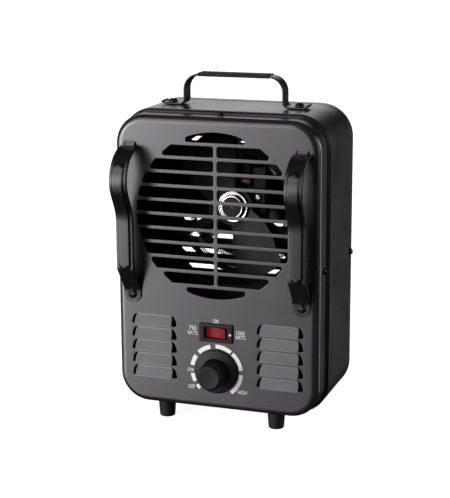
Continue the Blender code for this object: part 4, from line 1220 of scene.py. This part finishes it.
@dataclass
class Fan:
    """The two-blade fan with its chrome hub."""

    z: float = 194.0
    radius: float = 68.0
    depth: float = 50.0
    angles: Flat = (-65.0, 115.0)
    pitch: float = 10.0

    def blade(self, skin: Skin, turn: float) -> None:
        """Add one pitched, cupped blade."""
        spans, chord = 20, 18
        c, s = math.cos(math.radians(turn)), math.sin(math.radians(turn))
        rings = []
        for k in range(spans + 1):
            t = k / spans
            radius = 14.0 + (self.radius - 14.0) * t
            span = math.radians(44.0 - 19.0 * min(1.0, t * 1.25))
            if t > 0.82:
                span *= math.sqrt(1 - 0.3 * ((t - 0.82) / 0.18) ** 2)
            rake = math.radians(14.0 * (1 - min(1.0, t * 1.25)))
            front, back = [], []
            for i in range(chord + 1):
                u = -1 + 2 * i / chord
                a = rake + u * span
                lean = -u * self.pitch * t + 1.2 * (u * u - 1) * t - 3.0 * t
                x, h = radius * math.cos(a), radius * math.sin(a)
                half = 0.45 if 0 < i < chord else 0.18
                front.append((x * c - h * s, self.depth + lean - half, self.z + x * s + h * c))
                back.append((x * c - h * s, self.depth + lean + half, self.z + x * s + h * c))
            rings.append(front + back[::-1])
        skin.loft(rings)

    def build(self) -> None:
        """Build the blades and the hub."""
        # The blades' near-black steel is painted shade.
        blades = Piece("fan_wheel", BLADE, Body.FAN, ("fan_blades",), (0.0, self.depth, self.z), 40.0)
        disc = ((6.4, -0.7), (18.0, -0.7), (18.4, 0.0), (18.0, 0.65), (6.4, 0.65))
        profile = [(radius, self.depth + along) for radius, along in disc]
        blades.skin.turned(profile, 64, at=(0.0, 0.0, self.z), closed=True)
        for turn in self.angles:
            self.blade(blades.skin, turn)
        blades.make()

        hub = Piece("hub_spinner", CHROME, Body.FAN, ("fan_hub",), (0.0, self.depth, self.z), 50.0)
        front_ring = [(2.9, 45.6), (8.6, 45.6), (8.8, 45.2), (9.1, 44.75), (9.6, 44.6), (10.4, 44.7)]
        groove = [(10.9, 45.1), (11.2, 45.8), (11.4, 46.6), (12.0, 47.1), (12.9, 47.1), (13.4, 46.9)]
        rear_ring = [(13.9, 46.9), (14.5, 47.3), (14.9, 47.9), (15.0, 48.5), (15.0, 48.9)]
        sleeve = [(6.0, 48.9), (6.0, 54.6), (2.9, 54.6)]
        profile = front_ring + groove + rear_ring + sleeve
        hub.skin.turned(profile, 72, at=(0.0, 0.0, self.z), closed=True)
        hub.make()

        seal = Piece("hub_disc", BLACK_PLASTIC, Body.FAN, at=(0.0, 45.0, self.z), sharp=40.0)
        seal.skin.turned([(1.6, 45.3), (1.6, 45.0), (8.5, 45.0), (8.7, 45.3)], 48, at=(0.0, 0.0, self.z),
                         closed=True)
        seal.make()

        end = Piece("shaft_tip", SHAFT_END, Body.FAN, at=(0.0, 45.0, self.z), sharp=40.0)
        end.skin.turned([(0.1, 44.7), (1.0, 44.75), (1.4, 44.9), (1.5, 45.6), (0.1, 45.6)], 32,
                        at=(0.0, 0.0, self.z))
        end.make()
        dress(LAMINATED, "motor_rotor")


@dataclass
class Motor:
    """The shaded-pole motor on its three-armed carrier."""

    z: float = 194.0
    front: float = 64.0
    rear: float = 78.0
    winding_up: float = 29.3
    winding_half: float = 12.4

    def build(self) -> None:
        """Build the winding and dress the rest of the motor."""
        middle = (self.front + self.rear) / 2
        high = self.z + self.winding_up
        winding = Piece("motor_coil", COPPER, stands_for=("motor_winding",), at=(0.0, middle, high),
                        sharp=60.0)
        outer_d, outer_z = 10.5, 11.8
        inner_d, inner_z = 7.4, 5.1
        loops_out, loops_in = [], []
        for i in range(25):
            x = -self.winding_half + 2 * self.winding_half * i / 24
            bulge = 0.35 * math.sqrt(max(0.0, 1 - (x / self.winding_half) ** 2))
            outside = rounded_rectangle(outer_d + bulge, -outer_z, outer_z, 3.2, 8)
            loops_out.append([(x, middle + u * (1 + bulge * 0.02), high + w) for u, w in outside])
            bore = rounded_rectangle(inner_d, -inner_z, inner_z, 0.6, 8)
            loops_in.append([(x, middle + u, high + w) for u, w in bore])
        winding.skin.loft(loops_out + loops_in[::-1], closed=True)
        winding.make()
        tape = Piece("winding_tape", BLACK_AND_PAINTED_SHADE, at=(0.0, middle, high), sharp=40.0)
        right = [(8.0, 12.25), (9.6, 11.9), (10.95, 9.5), (10.95, -5.6)]
        outer = [(-u, w) for u, w in reversed(right)] + right
        inner = [(u * 0.985, w - 0.2 if w > 0 else w) for u, w in outer]
        tape.skin.loft([[(x, middle + u, high + w) for u, w in outer + inner[::-1]] for x in (-12.3, 12.3)])
        tape.make()
        # Stator, bearings and carrier are painted near black: painted shade inside the case.
        dress(STEEL_IN_PAINTED_SHADE, "motor_stator", bevel=0.3)
        dress(STEEL_IN_PAINTED_SHADE, "bearing_front", "bearing_rear", "motor_spider", bevel=0.25)
        dress(BRIGHT_ZINC, "motor_bolt_left", "motor_bolt_right")


@dataclass
class Heater:
    """The two coiled elements on their ceramic bars."""

    z: float = 194.0
    depth: float = 67.0
    rings: Flat = (49.0, 61.0)
    coil: float = 3.2
    wire: float = 0.5
    pitch: float = 1.7

    def build(self) -> None:
        """Wind both elements and dress their supports."""
        for number, ring in enumerate(self.rings, 1):
            piece = Piece(f"element_{number}", NICHROME, stands_for=(f"heating_coil_{number}",),
                          at=(0.0, self.depth, self.z), sharp=80.0)
            turns = int(math.radians(348.0) * ring / self.pitch)
            steps = 10
            path = []
            for i in range(turns * steps + 1):
                along = math.radians(6.0 + 348.0 * i / (turns * steps))
                wind = 2 * math.pi * i / steps
                radius = ring + self.coil * math.cos(wind)
                path.append((radius * math.cos(along), self.depth + self.coil * math.sin(wind),
                             self.z + radius * math.sin(along)))
            piece.skin.tube(path, self.wire, 4)
            piece.make()
        dress(STEATITE, *[f"ceramic_bar_{n}" for n in range(1, 5)], bevel=0.4)
        # The heater frame is painted near black: painted shade inside the case.
        dress(STEEL_IN_PAINTED_SHADE, "heater_frame")


@dataclass
class Fittings:
    """The shelf, shroud, electrical parts and feet."""

    foot_x: float = 52.9
    front_foot: Flat = (12.5, 15.0)
    rear_foot: Flat = (78.0, 12.0)

    def feet(self) -> None:
        """Build the four tapered rubber feet, each row at its depth and of its height."""
        for word, (depth, ground) in (("front", self.front_foot), ("rear", self.rear_foot)):
            for side, name in ((-1, "left"), (1, "right")):
                at = (side * self.foot_x, depth, 0.0)
                piece = Piece(f"rubber_{word}_{name}", RUBBER, stands_for=(f"foot_{word}_{name}",), at=at,
                              sharp=50.0)
                top = ground - 0.3
                profile = [(0.5, 0.0), (5.8, 0.0), (6.5, 0.15), (6.95, 0.6), (7.15, 1.3), (7.6, top * 0.5),
                           (8.05, top - 1.2), (8.2, top - 0.5), (8.0, top), (3.0, top), (3.0, ground + 2.2),
                           (2.4, ground + 3.2), (0.5, ground + 3.2)]
                piece.skin.turned(profile, 48, "Z", (at[0], at[1], 0.0))
                piece.make()

    def inside(self) -> None:
        """Dress the plain inner solids."""
        # Shroud and shelf are painted near black: painted shade for the dark inside of the case.
        dress(BLACK_AND_PAINTED_SHADE, "fan_shroud", "divider_shelf")
        dress(BRIGHT_ZINC, "thermal_cutout", "thermostat_body", bevel=0.3)
        dress(BRASS, "thermostat_nut", "thermostat_shaft")
        dress(STEATITE, "terminal_block", bevel=0.4)
        dress(BLACK_PLASTIC, "tip_over_switch", bevel=0.4)
        dress(BLACK_PLASTIC, "cord_inlet", bevel=0.2)
        dress(BLACK_ZINC, "handle_nut_left", "handle_nut_right", bevel=0.2)


# ---------------------------------------------------------------- studio


@dataclass(frozen=True)
class Glow:
    """A soft patch of light far off in one direction.

    Attributes:
        azimuth: direction in degrees, 0 in front of the heater and positive to its right.
        elevation: height in degrees.
        strength: brightness at its middle.
        spread: angle in degrees at which it has faded out.
    """

    azimuth: float
    elevation: float
    strength: float
    spread: float = 24.0

    def toward(self) -> Vector:
        """Return the direction it lies in."""
        a, e = math.radians(self.azimuth), math.radians(self.elevation)
        return Vector((math.sin(a) * math.cos(e), -math.cos(a) * math.cos(e), math.sin(e)))


@dataclass
class Studio:
    """Camera, floor and lights."""

    glows: tuple[Glow, ...] = (
        Glow(-37.0, -8.0, 12.0, 18.0),
        Glow(-37.0, 5.0, 7.5, 18.0),
        Glow(-48.0, 8.0, 6.5, 20.0),
        Glow(-58.0, -10.0, 4.0, 22.0),
        Glow(-30.0, -26.0, 1.9, 20.0),
        Glow(-19.0, 5.0, 4.0, 18.0),
        Glow(-23.0, 20.0, 2.4, 18.0),
        Glow(-24.0, 38.0, 3.2, 16.0),
        Glow(-42.0, 36.0, 2.4, 18.0),
        Glow(131.0, 8.0, 7.0, 14.0),
        Glow(138.0, -13.0, 3.0, 12.0),
        Glow(-161.0, 13.0, 1.05, 24.0),
    )
    ambient: float = 0.02

    lens: float = 103.0
    yaw: float = 19.23
    pitch: float = 13.54
    roll: float = -0.306
    distance: float = 1258.6
    target: Spot = (8.8, 0.0, 166.0)

    def camera(self) -> None:
        """Place the camera at its viewing angle."""
        a, e, r = (math.radians(v) for v in (self.yaw, self.pitch, self.roll))
        back = Vector((math.sin(a) * math.cos(e), -math.cos(a) * math.cos(e), math.sin(e)))
        right = (-back).cross(Vector((0.0, 0.0, 1.0))).normalized()
        up = right.cross(-back)
        turned = right * math.cos(r) + up * math.sin(r)
        data = bpy.data.cameras.new("camera")
        data.lens = self.lens
        data.sensor_width = 36.0
        data.clip_end = 50.0
        made = bpy.data.objects.new("camera", data)
        rotation = Matrix((turned, back.cross(turned), back)).transposed()
        aim = Vector((self.target[0], self.target[1] - FACE, self.target[2])) * MM
        made.matrix_world = Matrix.Translation(aim + back * self.distance * MM) @ rotation.to_4x4()
        bpy.context.scene.collection.objects.link(made)
        bpy.context.scene.camera = made

    def floor(self) -> None:
        """Lay a plain pale floor."""
        data = bpy.data.meshes.new("floor")
        size = 8.0
        corners = [(size * x, size * y, 0.0) for x, y in ((-1, -1), (1, -1), (1, 1), (-1, 1))]
        data.from_pydata(corners, [], [(0, 1, 2, 3)])
        made = bpy.data.objects.new("floor", data)
        finish = bpy.data.materials.new("pale_floor")
        finish.use_nodes = True
        shader = finish.node_tree.nodes["Principled BSDF"]
        shader.inputs["Base Color"].default_value = (0.9, 0.9, 0.9, 1.0)
        shader.inputs["Roughness"].default_value = 0.9
        shader.inputs["Specular IOR Level"].default_value = 0.1
        shader.inputs["Emission Color"].default_value = (1.0, 1.0, 1.0, 1.0)
        shader.inputs["Emission Strength"].default_value = 0.9
        finish.cycles.emission_sampling = "NONE"
        data.materials.append(finish)
        made.visible_glossy = False
        made.visible_diffuse = False
        bpy.context.scene.collection.objects.link(made)

    def soft_box(self, name: str, at: Spot, aim: Spot, size: Flat, power: float) -> None:
        """Hang a soft rectangular light, unseen by the camera.

        Args:
            name: object name.
            at: where it hangs, in metres.
            aim: what it faces, in metres.
            size: width and height in metres.
            power: watts.
        """
        data = bpy.data.lights.new(name, "AREA")
        data.shape = "RECTANGLE"
        data.size, data.size_y = size
        data.energy = power
        made = bpy.data.objects.new(name, data)
        made.location = at
        made.rotation_mode = "QUATERNION"
        made.rotation_quaternion = (Vector(aim) - Vector(at)).to_track_quat("-Z", "Y")
        made.visible_camera = False
        bpy.context.scene.collection.objects.link(made)

    def world(self) -> None:
        """Surround the stage with patches of soft light; looked at directly it is plain white."""
        world = bpy.data.worlds.new("studio")
        bpy.context.scene.world = world
        world.use_nodes = True
        tree = world.node_tree
        tree.nodes.clear()
        way = tree.nodes.new("ShaderNodeTexCoord").outputs["Generated"]
        total = None
        for glow in self.glows:
            turn = tree.nodes.new("ShaderNodeVectorMath")
            turn.operation = "DOT_PRODUCT"
            turn.inputs[1].default_value = glow.toward()
            tree.links.new(way, turn.inputs[0])
            fade = tree.nodes.new("ShaderNodeMapRange")
            fade.interpolation_type = "SMOOTHSTEP"
            fade.inputs["From Min"].default_value = math.cos(math.radians(glow.spread))
            fade.inputs["To Max"].default_value = glow.strength
            tree.links.new(turn.outputs["Value"], fade.inputs["Value"])
            add = tree.nodes.new("ShaderNodeMath")
            add.inputs[1].default_value = self.ambient
            if total:
                tree.links.new(total, add.inputs[1])
            tree.links.new(fade.outputs["Result"], add.inputs[0])
            total = add.outputs["Value"]
        shed = tree.nodes.new("ShaderNodeBackground")
        tree.links.new(total, shed.inputs["Strength"])
        seen = tree.nodes.new("ShaderNodeBackground")
        for shade in (seen, shed):
            shade.inputs["Color"].default_value = (1.0, 1.0, 1.0, 1.0)
        path = tree.nodes.new("ShaderNodeLightPath")
        mix = tree.nodes.new("ShaderNodeMixShader")
        out = tree.nodes.new("ShaderNodeOutputWorld")
        tree.links.new(path.outputs["Is Camera Ray"], mix.inputs["Fac"])
        tree.links.new(shed.outputs["Background"], mix.inputs[1])
        tree.links.new(seen.outputs["Background"], mix.inputs[2])
        tree.links.new(mix.outputs["Shader"], out.inputs["Surface"])

    def build(self) -> None:
        """Set up the whole studio."""
        bpy.context.scene.view_settings.view_transform = "Standard"
        self.camera()
        self.floor()
        self.world()
        heart = (0.0, 0.0, 0.16)
        self.soft_box("right_side", (1.26, 0.0, 0.49), heart, (0.9, 0.9), 4.5)


# ---------------------------------------------------------------- assembly


def screws(case: Case, handle: Handle) -> None:
    """Build every visible screw head."""
    proud = 0.3
    seat = handle.foot + handle.sheet + 0.4
    for side, word in ((-1, "left"), (1, "right")):
        bar = GuardBar(side)
        Screw(f"guard_screw_{word}").build((side * bar.x, -bar.sheet - 0.6, bar.screw_z), (0.0, -1.0, 0.0))
        at = (side * handle.screw_x, handle.depth, seat)
        Screw(f"handle_screw_{word}", 4.4, 2.8).build(at, (0.0, 0.0, 1.0))
    middle = case.bottom + case.height / 2
    top = case.bottom + case.height + proud
    front, rear = 16.0, 95.4
    Screw("front_flange_screw_top", 3.3, 2.2).build((0.0, front, top), (0.0, 0.0, 1.0))
    for row, depth, grow in (("front", front, proud), ("rear", rear, case.step + case.rear_step + proud)):
        for side, word in ((-1, "left"), (1, "right")):
            at = (side * (case.half_width + grow), depth, middle)
            Screw(f"{row}_flange_screw_{word}", 3.3, 2.2).build(at, (float(side), 0.0, 0.0))


def main() -> None:
    """Build the heater and its studio, piece by piece."""
    case = Case()
    FrontPan(case).build()
    case.joining_ring()
    case.wrap()
    case.rear_pan()
    for side in (-1, 1):
        GuardBar(side).build()
    handle = Handle()
    handle.build()
    screws(case, handle)
    Switch().build()
    Dial().build()
    Print().build()
    Fan().build()
    Motor().build()
    Heater().build()
    fittings = Fittings()
    fittings.feet()
    fittings.inside()
    Studio().build()
    LOG.info("heater built")


if __name__ == "__main__":
    main()
